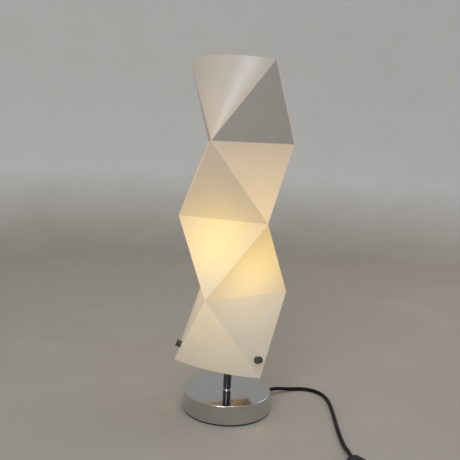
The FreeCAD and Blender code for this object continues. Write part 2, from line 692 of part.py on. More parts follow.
def holder_pieces():
    """Lampholder: lower half, skirt, insert, thread shell, contact and screws."""
    keep(turned("holder_lower", [
        ("Places.tube_hole_radius", "Places.holder_bottom"),
        ("Sizes.holder_boss_diameter / 2", "Places.holder_bottom"),
        ("Sizes.holder_boss_diameter / 2", "Places.holder_bottom + Sizes.holder_boss_height"),
        ("Sizes.holder_diameter / 2", "Places.holder_bottom + 2 * Sizes.holder_boss_height"),
        ("Sizes.holder_diameter / 2", "Places.holder_seam"),
        ("Sizes.holder_diameter / 2 - Sizes.holder_wall", "Places.holder_seam"),
        ("Sizes.holder_diameter / 2 - Sizes.holder_wall", "Places.ledge"),
        ("Sizes.holder_ledge_diameter / 2", "Places.ledge"),
        ("Sizes.holder_ledge_diameter / 2", "Places.tube_top"),
        ("Places.tube_hole_radius", "Places.tube_top")]), "holder_cap")
    keep(turned("holder_upper", [
        ("Sizes.holder_diameter / 2", "Places.holder_seam"),
        ("Sizes.holder_diameter / 2", "Places.holder_top"),
        ("Sizes.holder_lip_diameter / 2", "Places.holder_top"),
        ("Sizes.holder_lip_diameter / 2", "Places.holder_top - Sizes.holder_lip_height"),
        ("Sizes.holder_diameter / 2 - Sizes.holder_wall", "Places.holder_top - Sizes.holder_lip_height"),
        ("Sizes.holder_diameter / 2 - Sizes.holder_wall", "Places.holder_seam")]), "holder_skirt")
    insert = primitive("Cylinder", "insert_disc", Height="Sizes.insert_height", z="Places.ledge",
                       Radius="Sizes.holder_diameter / 2 - Sizes.holder_wall - Sizes.insert_gap")
    keep(insert, "holder_insert")
    inner = "Sizes.bulb_thread_diameter / 2 + Sizes.bulb_thread_gap"
    keep(ring("thread_shell", inner + " + Sizes.thread_shell_wall", inner, "Places.insert_top",
              "Sizes.thread_shell_height"), "holder_thread_shell")
    keep(primitive("Cylinder", "contact", Radius="Sizes.contact_diameter / 2",
                   Height="Sizes.contact_height", z="Places.insert_top"), "holder_contact")
    heads = [primitive("Cylinder", "terminal_%d" % index, Radius="Sizes.terminal_diameter / 2",
                       Height="Sizes.terminal_height", z="Places.ledge - Sizes.terminal_height",
                       x="%d * Sizes.terminal_spacing / 2" % side)
             for index, side in enumerate((-1, 1))]
    keep(fuse("terminals", *heads), "terminal_screws")


def glass_outline(radius, neck, flare, level):
    """Half outline of the globe: neck, flare and a line that meets the round tangentially."""
    centre = place("tip_bottom") + size("bulb_height") - size("bulb_diameter") / 2
    start = Vector(flare, 0, level)
    away = Vector(start.x, 0, start.z - centre)
    reach = math.sqrt(away.Length ** 2 - radius ** 2)
    angle = math.atan2(away.z, away.x) + math.atan2(reach, radius)
    touch = Vector(radius * math.cos(angle), 0, centre + radius * math.sin(angle))
    half = (angle + math.pi / 2) / 2
    middle = Vector(radius * math.cos(half), 0, centre + radius * math.sin(half))
    return [Vector(neck, 0, place("thread_top") - size("bulb_insulator_height")),
            Vector(neck, 0, place("thread_top")), start, touch, middle, Vector(0, 0, centre + radius)]


# One rib of the rolled thread: foot, start of the crest, end of the crest, foot.
RIB_SHARES = (0, 0.35, 0.5, 0.85)


def bulb_pieces():
    """Bulb: glass, threaded cap, insulator and tip."""
    wall = size("bulb_wall")
    neck, flare = size("bulb_neck_diameter") / 2, size("bulb_thread_diameter") / 2 + 2 * wall
    level = place("holder_top") + 2 * wall
    outer = glass_outline(size("bulb_diameter") / 2, neck, flare, level)
    inner = glass_outline(size("bulb_diameter") / 2 - wall, neck - wall, flare - wall, level + wall)
    edges = []
    for line in (outer, inner):
        edges.extend(Part.LineSegment(a, b).toShape() for a, b in zip(line[:3], line[1:4]))
        edges.append(Part.Arc(line[3], line[4], line[5]).toShape())
    edges.append(Part.LineSegment(outer[0], inner[0]).toShape())
    edges.append(Part.LineSegment(outer[-1], inner[-1]).toShape())
    outline = Part.Wire(Part.__sortEdges__(edges))
    glass = Part.Face(outline).revolve(Vector(0, 0, 0), Vector(0, 0, 1), 360)
    code_shape("bulb_glass", glass)
    crest = size("bulb_thread_diameter") / 2
    root = crest - size("bulb_thread_depth")
    pitch = size("bulb_thread_pitch")
    bottom, top = place("thread_bottom"), place("thread_top")
    ribs = int((top - bottom - pitch) / pitch)
    inside = neck + size("bulb_neck_gap")
    profile = [Vector(inside, 0, bottom), Vector(root, 0, bottom)]
    for index in range(ribs):
        foot = bottom + pitch * (index + 0.5)
        profile.extend(Vector(radius, 0, foot + pitch * share)
                       for radius, share in zip((root, crest, crest, root), RIB_SHARES))
    profile.extend([Vector(root, 0, top), Vector(inside, 0, top)])
    code_shape("bulb_screw_cap", face_of(*profile).revolve(Vector(0, 0, 0), Vector(0, 0, 1), 360))
    tip = size("bulb_tip_diameter") / 2
    code_shape("bulb_insulator", Part.makeCone(tip, root, size("bulb_insulator_height"),
                                               Vector(0, 0, place("insulator_bottom"))))
    code_shape("bulb_tip", Part.makeCone(size("bulb_tip_face") / 2, tip, size("bulb_tip_height"),
                                         Vector(0, 0, place("tip_bottom"))))


# --- cord ---------------------------------------------------------------------------

REST = size("cord_diameter") / 2 + size("soft_gap")
RELIEF_TIP = size("base_diameter") / 2 + size("relief_length")
SWITCH_ENTRY = size("switch_lower_height") + size("soft_gap")
RUN_OUT = 13.0

# From the strain relief to the switch: two points straight out of the drum, then the
# curve that the cord takes over the table, and a last run square to the switch.
ROUTE = [
    along(EXIT_WAY, RELIEF_TIP, size("cord_exit_height")),
    along(EXIT_WAY, RELIEF_TIP + RUN_OUT, size("cord_exit_height")),
    Vector(91.5, 61.5, 5.2),
    Vector(106.5, 67.5, REST),
    Vector(122.0, 69.5, REST),
    Vector(136.8, 64.2, REST),
    Vector(147.0, 54.0, REST),
    Vector(153.0, 38.0, REST),
    Vector(154.6, 17.5, REST),
    Vector(153.0, -10.0, REST),
    Vector(149.8, -44.0, REST),
    Vector(146.0, -82.0, REST),
    Vector(144.2, -122.0, 3.6),
    Vector(144.2, -144.0, SWITCH_ENTRY),
    Vector(144.2, -165.0, SWITCH_ENTRY),
]

add_place("switch_x", str(ROUTE[-1].x))
add_place("switch_y", "=%s - Sizes.switch_length / 2" % str(ROUTE[-1].y))
add_place("seam_height", str(SWITCH_ENTRY))
add_place("switch_bottom", "=Sizes.soft_gap")
add_place("switch_top", "=seam_height + Sizes.switch_upper_height")
add_place("pivot_height", "=switch_top - Sizes.rocker_pivot_drop")


def arc_middle(start, bend, end):
    """Middle of the arc that leaves start towards bend and reaches end from bend."""
    chord = (start + end) / 2
    half = (end - start).Length / 2
    angle = math.acos(min(1.0, half / (bend - start).Length))
    return chord + (bend - chord).normalize() * (half * math.tan(angle / 2))


def eased_path(points, label):
    """Straight runs joined by tangent arcs, each as large as its two runs allow."""
    edges, radii, start = [], [], points[0]
    for before, here, after in zip(points, points[1:], points[2:]):
        back, ahead = (before - here), (after - here)
        reach = 0.45 * min(back.Length, ahead.Length)
        turn = math.pi - back.getAngle(ahead)
        radii.append(round(reach / math.tan(turn / 2), 1))
        one = here + back.normalize() * reach
        two = here + ahead.normalize() * reach
        edges.append(Part.LineSegment(start, one).toShape())
        edges.append(Part.Arc(one, arc_middle(one, here, two), two).toShape())
        start = two
    edges.append(Part.LineSegment(start, points[-1]).toShape())
    print(label, "radii", radii)
    return Part.Wire(edges)


def tube_along(wire, diameter, label):
    """Round tube along a wire of lines and arcs."""
    first = wire.OrderedEdges[0]
    start = first.valueAt(first.FirstParameter)
    way = first.tangentAt(first.FirstParameter)
    if first.Orientation == "Reversed":
        start, way = first.valueAt(first.LastParameter), first.tangentAt(first.LastParameter) * -1
    section = Part.Wire([Part.makeCircle(diameter / 2, start, way)])
    tube = wire.makePipeShell([section], True, False)
    print(label, "length", round(wire.Length, 1), "volume share",
          round(tube.Volume / (wire.Length * math.pi * diameter ** 2 / 4), 4))
    return tube


def biarc(start, way, end, end_way):
    """Two arcs that leave start along way and reach end along end_way."""
    gap, sum_way = end - start, way + end_way
    spread = 2 * (1 - way.dot(end_way))
    cross = 2 * gap.dot(sum_way)
    reach = (-cross + math.sqrt(cross * cross + 4 * spread * gap.dot(gap))) / (2 * spread)
    one, two = start + way * reach, end - end_way * reach
    joint = (one + two) / 2
    return [Part.Arc(start, arc_middle(start, one, joint), joint).toShape(),
            Part.Arc(joint, arc_middle(joint, two, end), end).toShape()]


COIL_START = ROUTE[-1] + Vector(0, -size("switch_length") - 3 * RUN_OUT, 0)
COIL_LEVEL = REST + size("coil_rise")


def coil_path():
    """The put-away length: a spiral in on the table, and out again on top of it.

    Returns the wire, its posts at every half turn and the coil's middle.
    """
    pitch, outer = size("coil_pitch"), size("coil_radius")
    turns = int(size("coil_half_turns"))
    ahead, aside = Vector(0, -1, 0), Vector(-1, 0, 0)
    straight = size("cord_diameter")
    start = Vector(COIL_START.x, COIL_START.y, COIL_LEVEL)
    middle = start + ahead * straight + aside * outer
    inward = [outer - pitch / 2 * step for step in range(turns + 1)]
    lowest = inward[-1] - pitch / 2
    wider = lowest + size("coil_reversal")
    outward = [lowest] + [wider + pitch / 2 * step for step in range(1, turns)]
    posts = []
    for index, radius in enumerate(inward + outward):
        side = 1 if index % 2 == 0 else -1
        level = 0 if index <= turns else pitch
        posts.append(middle + Vector(side * radius, 0, level))
    edges = [Part.LineSegment(start, posts[0]).toShape()]
    for index, (one, two) in enumerate(zip(posts, posts[1:])):
        way = ahead if index % 2 == 0 else ahead * -1
        edges.extend(biarc(one, way, two, way * -1))
    last = posts[-1]
    leave = Vector(middle.x, middle.y - (last.x - middle.x) - pitch / 4, last.z)
    edges.extend(biarc(last, ahead, leave, aside))
    end = leave + aside * straight
    edges.append(Part.LineSegment(leave, end).toShape())
    return Part.Wire(edges), middle, end


def coil_gap(wire):
    """Least clear distance between two turns of the coil, measured on points."""
    step = 2.0
    points = wire.discretize(int(wire.Length / step))
    skip = int(4 * size("cord_diameter") / step)
    least = min((points[i] - points[j]).Length
                for i in range(len(points)) for j in range(i + skip, len(points)))
    return least - size("cord_diameter")


def lathe(profile, where):
    """Solid turned about Z from (radius, height) corners, then placed."""
    solid = face_of(*(Vector(radius, 0, height) for radius, height in profile))
    solid = solid.revolve(Vector(0, 0, 0), Vector(0, 0, 1), 360)
    solid.Placement = where
    return solid


def relief():
    """Strain relief: a neck in the drum's wall, a flange and a tapered tail."""
    wall, inner = size("base_diameter") / 2, size("relief_inner")
    tip = size("cord_diameter") / 2 + size("relief_tip_wall")
    flange, neck = size("relief_flange") / 2, size("relief_neck") / 2 - size("tube_fit")
    back = wall - size("base_wall") - 3 * size("tube_fit")
    profile = [(0, back - inner), (flange, back - inner), (flange, back), (neck, back), (neck, wall),
               (flange, wall), (flange, wall + size("relief_flange_thickness")),
               (size("relief_diameter") / 2, wall + size("relief_flange_thickness")),
               (tip, wall + size("relief_length")), (0, wall + size("relief_length"))]
    where = Placement(Vector(0, 0, size("cord_exit_height")), Rotation(Vector(0, 0, 1), EXIT_WAY))
    code_shape("cord_relief", lathe(profile, where))
    return back - inner


def cord_pieces():
    """Lead inside the lamp, cord over the table, coil and tie."""
    diameter = size("cord_diameter")
    lead_start = relief()
    low = size("lead_height")
    lead = [along(EXIT_WAY, lead_start, size("cord_exit_height")),
            along(EXIT_WAY, lead_start * 2 / 3, size("cord_exit_height")),
            along(EXIT_WAY, lead_start / 3, low), Vector(0, 0, low),
            Vector(0, 0, place("ledge") - size("insert_gap"))]
    code_shape("inner_lead", tube_along(eased_path(lead, "lead"), size("lead_diameter"), "lead"))
    first = eased_path(ROUTE, "cord to switch")
    code_shape("cord_to_switch", tube_along(first, diameter, "cord to switch"))
    leave = ROUTE[-1] + Vector(0, -size("switch_length"), 0)
    link = [leave, leave + Vector(0, -RUN_OUT, 0), Vector(leave.x, leave.y - 2 * RUN_OUT, COIL_LEVEL),
            Vector(COIL_START.x, COIL_START.y, COIL_LEVEL)]
    second = eased_path(link, "cord to coil")
    code_shape("cord_to_coil", tube_along(second, diameter, "cord to coil"))
    wound, middle, end = coil_path()
    code_shape("cord_coil", tube_along(wound, diameter, "coil"))
    print("coil gap to itself", round(coil_gap(wound), 2))
    plug_level = size("plug_thickness") / 2 + size("soft_gap")
    tail = [end, end + Vector(-RUN_OUT, 0, 0), Vector(end.x - 2 * RUN_OUT, end.y, plug_level),
            Vector(end.x - 3 * RUN_OUT, end.y, plug_level)]
    third = eased_path(tail, "cord to plug")
    code_shape("cord_to_plug", tube_along(third, diameter, "cord to plug"))
    print("cord length", round(first.Length + second.Length + wound.Length + third.Length
                               + size("switch_length") + size("relief_length"), 1))
    coil_tie(middle)
    plug_pieces(tail[-1])


def coil_tie(middle):
    """Flat band round all the turns on the coil's far side from the cord."""
    pitch, outer = size("coil_pitch"), size("coil_radius")
    room = size("cord_diameter") / 2 + size("tie_gap")
    thick, width = size("tie_thickness"), size("tie_width")
    far = outer - pitch / 2 + room
    innermost = outer - size("coil_half_turns") * pitch / 2
    near = math.sqrt(innermost ** 2 - (width / 2) ** 2) - room
    low, high = COIL_LEVEL - room, COIL_LEVEL + pitch + room
    window = Part.makeBox(far - near, 2 * width, high - low,
                          Vector(middle.x - far, middle.y - width, low))
    band = Part.makeBox(far - near + 2 * thick, width, high - low + 2 * thick,
                        Vector(middle.x - far - thick, middle.y - width / 2, low - thick))
    code_shape("coil_tie", band.cut(window))


# The plug's corner radius as a share of its thickness, and its stations as shares of
# its length: rear end, half way out, full width, front.
SECTION_BEND = 0.3
STATIONS = (0, 0.4, 0.75, 1)


def rounded_section(x, width, height, level, y):
    """Rounded rectangle square to X."""
    bend = SECTION_BEND * height
    wide, tall = width / 2, height / 2
    inset = bend * (1 - math.sqrt(0.5))
    edges = []
    for turn, (side, up) in enumerate(((1, 1), (-1, 1), (-1, -1), (1, -1))):
        one = Vector(x, y + side * wide, level + up * (tall - bend))
        two = Vector(x, y + side * (wide - bend), level + up * tall)
        middle = Vector(x, y + side * (wide - inset), level + up * (tall - inset))
        if turn % 2:
            one, two = two, one
        edges.append((one, middle, two))
    outline = []
    for index, (one, middle, two) in enumerate(edges):
        outline.append(Part.Arc(one, middle, two).toShape())
        outline.append(Part.LineSegment(two, edges[(index + 1) % 4][0]).toShape())
    return Part.Wire(outline)


def plug_pieces(entry):
    """Two-pin plug that lies flat beside the coil, its pins pointing along -X."""
    tip = size("cord_diameter") / 2 + size("relief_tip_wall")
    rear = entry.x - size("plug_relief_length")
    relief_shape = Part.makeCone(tip, size("plug_relief_diameter") / 2, size("plug_relief_length"),
                                 entry, Vector(-1, 0, 0))
    code_shape("plug_relief", relief_shape)
    length, width, thick = size("plug_length"), size("plug_width"), size("plug_thickness")
    rear_width, rear_thick = size("plug_rear_width"), size("plug_rear_thickness")
    widths = (rear_width, (rear_width + width) / 2, width, width)
    sections = [rounded_section(rear - share * length, wide, high, entry.z, entry.y)
                for share, wide, high in zip(STATIONS, widths, (rear_thick, thick, thick, thick))]
    code_shape("plug_body", Part.makeLoft(sections, True, True))
    pins = []
    for side in (-1, 1):
        radius = size("pin_diameter") / 2
        foot = Vector(rear - length, entry.y + side * size("pin_spacing") / 2, entry.z)
        pin = Part.makeCylinder(radius, size("pin_length") - radius, foot, Vector(-1, 0, 0))
        pins.append(pin.fuse(Part.makeSphere(radius, foot - Vector(size("pin_length") - radius, 0, 0))))
    code_shape("plug_pins", Part.makeCompound(pins))


# --- in-line switch -----------------------------------------------------------------


def switch_block(name, inset_text, bottom_text, height_text):
    """Prism with the switch's outline, drawn in by an inset."""
    length = "(Sizes.switch_length / 2 - %s)" % inset_text
    wide = "(Sizes.switch_width / 2 - %s)" % inset_text
    nose = "(Sizes.switch_nose_width / 2 - %s)" % inset_text
    shoulder = "(Sizes.switch_length / 2 - Sizes.switch_shoulder)"
    outline = [(nose, "-" + length), (wide, "-" + shoulder), (wide, shoulder), (nose, length),
               ("-" + nose, length), ("-" + wide, shoulder), ("-" + wide, "-" + shoulder),
               ("-" + nose, "-" + length)]
    body = doc.addObject("PartDesign::Body", name)
    sketch = outline_sketch(body, "XY_Plane", outline)
    solid = body.newObject("PartDesign::Pad", name + "_pad")
    solid.Profile = sketch
    solid.setExpression("Length", height_text)
    for axis, text in (("x", "Places.switch_x"), ("y", "Places.switch_y"), ("z", bottom_text)):
        body.setExpression(AXES[axis], text)
    doc.recompute()
    return body


def at_switch(kind, name, z, dx="0", dy="0", **fields):
    """Primitive placed from the middle of the switch."""
    return primitive(kind, name, x="Places.switch_x + " + dx, y="Places.switch_y + " + dy, z=z, **fields)


def block_at_switch(name, width, length, bottom, height, dx="0", dy="0"):
    """Box whose middle lies dx and dy from the middle of the switch."""
    return at_switch("Box", name, bottom, dx + " - (%s) / 2" % width, dy + " - (%s) / 2" % length,
                     Width=length, Length=width, Height=height)


def upright(edge):
    """True for a straight edge along Z."""
    ends = [vertex.Point for vertex in edge.Vertexes]
    return len(ends) == 2 and math.hypot(ends[0].x - ends[1].x, ends[0].y - ends[1].y) < 1e-6


def level_at(height):
    """Test for edges that lie at a height of their own body."""
    return lambda edge: all(abs(vertex.Z - height) < 1e-6 for vertex in edge.Vertexes)


def switch_pieces():
    """Two shells, rocker, screws and contacts of the in-line switch."""
    wall = "Sizes.switch_wall"
    lower = switch_block("lower_block", "0", "Places.switch_bottom", "Sizes.switch_lower_height")
    rounded(lower, "Sizes.switch_corner_radius", upright)
    rounded(lower, "Sizes.switch_edge_radius", level_at(0))
    lower_room = switch_block("lower_room", wall, "Places.switch_bottom + " + wall,
                              "Sizes.switch_lower_height")
    upper = switch_block("upper_block", "0", "Places.seam_height", "Sizes.switch_upper_height")
    rounded(upper, "Sizes.switch_corner_radius", upright)
    rounded(upper, "Sizes.switch_edge_radius", level_at(size("switch_upper_height")))
    upper_room = switch_block("upper_room", wall, "Places.seam_height - Sizes.overlap",
                              "Sizes.switch_upper_height + Sizes.overlap - " + wall)
    slot = block_at_switch("rocker_slot", "Sizes.rocker_width + 2 * Sizes.rocker_gap",
                           "Sizes.rocker_slot_length", "Places.seam_height",
                           "Sizes.switch_upper_height + Sizes.overlap")
    ear_width = "(Sizes.rocker_pin_length / 2 + Sizes.overlap - Sizes.rocker_width / 2 - Sizes.rocker_gap)"
    ear_middle = "(Sizes.rocker_width / 2 + Sizes.rocker_gap + %s / 2)" % ear_width
    ears = [block_at_switch("ear_%d" % index, ear_width, "3 * Sizes.rocker_pin_diameter",
                            "Places.pivot_height - Sizes.rocker_pin_diameter",
                            "(Sizes.rocker_pivot_drop + Sizes.rocker_pin_diameter - Sizes.overlap)",
                            dx="%d * %s" % (side, ear_middle)) for index, side in enumerate((-1, 1))]
    posts = [at_switch("Cylinder", "post_%d" % index, "Places.seam_height",
                       dy="%d * Sizes.switch_screw_offset" % side, Radius="Sizes.switch_boss / 2",
                       Height="Sizes.switch_upper_height - Sizes.overlap")
             for index, side in enumerate((-1, 1))]
    pin_hole = at_switch("Cylinder", "pin_hole", "Places.pivot_height",
                         "-Sizes.rocker_pin_length / 2 - Sizes.rocker_hole_spare",
                         Radius="Sizes.rocker_pin_diameter / 2 + Sizes.rocker_pin_fit",
                         Height="Sizes.rocker_pin_length + 2 * Sizes.rocker_hole_spare")
    pin_hole.Placement.Rotation = Rotation(Vector(0, 1, 0), 90)
    screw_holes = screw_cylinders("hole", "Sizes.tube_fit")
    shell = fuse("upper_with_ears", cut("upper_hollow", upper, upper_room, slot), *ears, *posts)
    keep(cut("upper_done", shell, pin_hole, *screw_holes[1]), "switch_upper_shell")
    feet = [at_switch("Cylinder", "foot_%d" % index, "Places.switch_bottom + Sizes.overlap",
                      dy="%d * Sizes.switch_screw_offset" % side, Radius="Sizes.switch_boss / 2",
                      Height="Sizes.switch_lower_height - Sizes.overlap")
            for index, side in enumerate((-1, 1))]
    base = fuse("lower_with_feet", cut("lower_hollow", lower, lower_room), *feet)
    keep(cut("lower_done", base, *screw_holes[0], *screw_holes[1]), "switch_lower_shell")
    screws = screw_cylinders("screw", "0")
    keep(fuse("both_screws", *screws[0], *screws[1]), "switch_screws")
    floor = "Places.switch_bottom + " + wall
    strips = []
    for index, side in enumerate((-1, 1)):
        middle = "%d * (Sizes.strip_offset + Sizes.strip_length / 2)" % side
        riser = "%d * (Sizes.strip_offset + Sizes.strip_thickness / 2)" % side
        strips.append(block_at_switch("strip_foot_%d" % index, "Sizes.strip_width", "Sizes.strip_length",
                                      floor, "Sizes.strip_thickness", dy=middle))
        strips.append(block_at_switch("strip_leg_%d" % index, "Sizes.strip_width", "Sizes.strip_thickness",
                                      floor, "Sizes.strip_height", dy=riser))
    keep(fuse("both_strips", *strips), "switch_contacts")
    rocker_piece()


def screw_cylinders(name, spare):
    """Heads and shanks of the two switch screws, grown by a spare radius."""
    heads, shanks = [], []
    for index, side in enumerate((-1, 1)):
        where = "%d * Sizes.switch_screw_offset" % side
        foot = "Places.switch_bottom + Sizes.switch_screw_recess"
        heads.append(at_switch("Cylinder", "%s_head_%d" % (name, index), foot, dy=where,
                               Radius="Sizes.switch_screw_head / 2 + " + spare,
                               Height="Sizes.switch_screw_head_height"))
        shanks.append(at_switch("Cylinder", "%s_shank_%d" % (name, index), foot, dy=where,
                                Radius="Sizes.switch_screw_shank / 2 + " + spare,
                                Height="Sizes.switch_screw_length"))
    return heads, shanks


def rocker_piece():
    """Rocker with a hollow top and its pivot pin, tilted to its rest position."""
    half, wide = size("rocker_length") / 2, size("rocker_width")
    tall, waist = size("rocker_end_height"), size("rocker_waist_height")
    shoulder, low = size("rocker_shoulder_height"), -size("rocker_foot_depth")
    foot = size("rocker_foot_length") / 2
    side = [Vector(0, -half, tall), Vector(0, 0, waist), Vector(0, half, tall), Vector(0, half, shoulder),
            Vector(0, foot, low), Vector(0, -foot, low), Vector(0, -half, shoulder)]
    body = face_of(*side).extrude(Vector(wide, 0, 0))
    body.translate(Vector(-wide / 2, 0, 0))
    long_pin = size("rocker_pin_length")
    pin = Part.makeCylinder(size("rocker_pin_diameter") / 2, long_pin, Vector(-long_pin / 2, 0, 0),
                            Vector(1, 0, 0))
    where = Placement(Vector(place("switch_x"), place("switch_y"), place("pivot_height")),
                      Rotation(Vector(1, 0, 0), size("rocker_tilt")))
    code_shape("switch_rocker", body.fuse(pin), where)


# --- build, check and write ---------------------------------------------------------


def check():
    """Stop if any object failed or any sub-part is not a sound solid."""
    doc.recompute()
    for item in doc.Objects:
        if "Invalid" in item.State or "Error" in item.State:
            raise RuntimeError("failed object: " + item.Name)
    for piece in nodes:
        shape = piece.Shape
        if shape.isNull() or not shape.isValid() or not shape.Solids:
            raise RuntimeError("bad shape: " + piece.Label)
        print("%-22s solids %d volume %.1f" % (piece.Label, len(shape.Solids), shape.Volume))


def main():
    """Model every sub-part, check them and write their files."""
    base_pieces()
    stem_pieces()
    carrier_pieces()
    shade()
    fixing_pieces()
    holder_pieces()
    bulb_pieces()
    cord_pieces()
    switch_pieces()
    check()
    os.makedirs("parts", exist_ok=True)
    for piece in nodes:
        piece.Shape.exportStep(os.path.join("parts", piece.Label + ".step"))


main()
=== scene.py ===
# %% [markdown]
# A table lamp on a chrome drum, with a shade folded from one translucent sheet.
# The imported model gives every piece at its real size. This lesson dresses it: it
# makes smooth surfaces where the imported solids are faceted, and finishes for all.

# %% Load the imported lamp
import json
import math

import bmesh
import bpy
import numpy as np
from mathutils import Matrix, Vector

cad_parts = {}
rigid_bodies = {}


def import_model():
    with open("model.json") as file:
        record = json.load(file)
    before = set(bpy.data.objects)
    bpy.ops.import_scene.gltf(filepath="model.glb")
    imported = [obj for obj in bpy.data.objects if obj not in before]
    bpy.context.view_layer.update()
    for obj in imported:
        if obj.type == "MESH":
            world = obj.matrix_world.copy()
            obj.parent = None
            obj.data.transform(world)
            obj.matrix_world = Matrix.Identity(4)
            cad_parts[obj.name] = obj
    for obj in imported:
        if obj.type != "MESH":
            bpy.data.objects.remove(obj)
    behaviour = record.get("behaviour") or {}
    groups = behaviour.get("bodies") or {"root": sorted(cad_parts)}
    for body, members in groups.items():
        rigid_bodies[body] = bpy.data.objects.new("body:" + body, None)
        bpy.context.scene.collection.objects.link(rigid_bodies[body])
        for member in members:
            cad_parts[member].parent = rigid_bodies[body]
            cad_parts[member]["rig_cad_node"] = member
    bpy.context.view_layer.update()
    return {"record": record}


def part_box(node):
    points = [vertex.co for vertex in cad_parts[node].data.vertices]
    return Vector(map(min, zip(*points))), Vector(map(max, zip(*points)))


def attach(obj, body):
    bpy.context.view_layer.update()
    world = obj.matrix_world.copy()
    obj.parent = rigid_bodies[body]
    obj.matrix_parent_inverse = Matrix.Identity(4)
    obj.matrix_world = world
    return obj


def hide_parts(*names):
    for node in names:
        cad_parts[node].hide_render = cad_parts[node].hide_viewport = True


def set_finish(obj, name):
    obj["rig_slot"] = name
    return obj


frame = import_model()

# %% [markdown]
# The picture was taken from a little above the middle of the shade, slightly left of
# the lamp and with the camera rolled by two and a half degrees. A camera could be
# aimed with a constraint, but a matrix of three directions keeps that roll exactly.

# %% Camera
CAMERA = (-0.0584, -0.8551, 0.3773)
YAW, PITCH, ROLL = (math.radians(degrees) for degrees in (3.519, 7.790, 2.495))


def placed(*columns):
    """4 by 4 array whose columns are three directions and a place."""
    matrix = np.eye(4)
    matrix[:3] = np.stack(columns, axis=1)
    return matrix


def add_object(name, data):
    """Object with the given data, linked to the scene."""
    piece = bpy.data.objects.new(name, data)
    bpy.context.collection.objects.link(piece)
    return piece


def camera_frame():
    """The sight line turns by the yaw from +Y towards +X and dips by the pitch; the
    frame then rolls about it. The columns are right, up, back and the camera's place."""
    forward = np.array([math.sin(YAW) * math.cos(PITCH), math.cos(YAW) * math.cos(PITCH),
                        -math.sin(PITCH)])
    right = np.array([math.cos(YAW), -math.sin(YAW), 0.0])
    up = np.cross(right, forward)
    turn = np.array([[math.cos(ROLL), math.sin(ROLL)], [-math.sin(ROLL), math.cos(ROLL)]])
    return placed(*(turn @ np.stack([right, up])), -forward, CAMERA)


view = bpy.data.cameras.new("view")
view.sensor_width, view.lens, view.clip_start = 36.0, 48.54, 0.01
camera = add_object("view", view)
camera.matrix_world = Matrix(camera_frame().tolist())
bpy.context.scene.camera = camera
print("camera stands", round(math.hypot(*CAMERA[:2]), 3), "m from the stem")

# %% [markdown]
# The mains cord is a fixed length of round black cable. It leaves the drum at the back
# right, sinks to the table, bends round to the front and reaches an in-line switch just
# outside the picture. A mesh tube could follow it, but one smooth spline with the
# route's few points as controls gives the even bends of a real cable.

# %% Cord from the drum to the switch
CORD = 0.0054
REST = CORD / 2 + 0.00005
SWITCH_ENTRY = 0.00825
DRUM, RELIEF_LENGTH, EXIT_LEVEL = 0.0625, 0.020, 0.008
EXIT = math.radians(126)
EXIT_WAY = np.array([math.sin(EXIT), -math.cos(EXIT), 0.0])
RELIEF_TIP = EXIT_WAY * (DRUM + RELIEF_LENGTH) + [0, 0, EXIT_LEVEL]

over_the_table = np.array([
    RELIEF_TIP, RELIEF_TIP + EXIT_WAY * 0.013,
    (0.0915, 0.0615, 0.0052), (0.1065, 0.0675, REST), (0.1220, 0.0695, REST),
    (0.1368, 0.0642, REST), (0.1470, 0.0540, REST), (0.1530, 0.0380, REST),
    (0.1546, 0.0175, REST), (0.1530, -0.0100, REST), (0.1498, -0.0440, REST),
    (0.1460, -0.0820, REST), (0.1442, -0.1220, 0.0036),
    (0.1442, -0.1440, SWITCH_ENTRY), (0.1442, -0.1650, SWITCH_ENTRY)])


def cable(name, points, *stands_for):
    """One open spline of second degree whose controls are the points. Its round section
    is as wide as each control's radius times the bevel depth."""
    line = bpy.data.curves.new(name, "CURVE")
    line.dimensions = "3D"
    spline = line.splines.new("NURBS")
    spline.points.add(len(points) - 1)
    spline.points.foreach_set("co", np.column_stack([points, np.ones(len(points))]).ravel())
    spline.points.foreach_set("radius", np.full(len(points), CORD / 2))
    spline.order_u = 3
    spline.use_endpoint_u = True
    spline.resolution_u = 10
    line.bevel_depth = 1.0
    line.bevel_resolution = 5
    line.use_fill_caps = True
    piece = add_object(name, line)
    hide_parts(*stands_for)
    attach(piece, "lamp")
    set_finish(piece, "cord_black")
    return piece


def length_along(piece):
    """Length of the spline itself: Blender works out the points of a copy without the
    round section, and the steps between neighbouring points are summed."""
    bare = piece.data.copy()
    bare.bevel_depth = 0
    probe = bpy.data.objects.new("probe", bare)
    mesh = bpy.data.meshes.new_from_object(probe)
    points = np.empty(len(mesh.vertices) * 3)
    mesh.vertices.foreach_get("co", points)
    bpy.data.objects.remove(probe)
    bpy.data.meshes.remove(mesh)
    bpy.data.curves.remove(bare)
    return float(np.linalg.norm(np.diff(points.reshape(-1, 3), axis=0), axis=1).sum())


table_cord = cable("table_cord", over_the_table, "cord_to_switch")
table_cord_length = length_along(table_cord)
print("cord over the table", round(table_cord_length, 4), "m")

# %% [markdown]
# Past the switch the rest of the cord is put away in a neat round coil of two layers,
# wound inwards on the table and outwards again on top of itself. The turns could be
# circles, but a cable winds in a spiral: each half turn ends half a step further in or
# out, so its radius swings from one end's value to the other's as a cosine.

# %% Cord from the switch to the plug, with its coil
COIL_START = np.array([0.1442, -0.2680, REST + 0.0012])
COIL_RADIUS, COIL_STEP, CLIMB_EXTRA = 0.0414, 0.0059, 0.0030
HALF_TURNS, PER_TURN = 7, 16
RUN_OUT, PLUG_LEVEL = 0.013, 0.0069


def smooth_step(value, start, end):
    """Zero before the start, one after the end, and a cubic between them."""
    t = np.clip((value - start) / (end - start), 0, 1)
    return t * t * (3 - 2 * t)


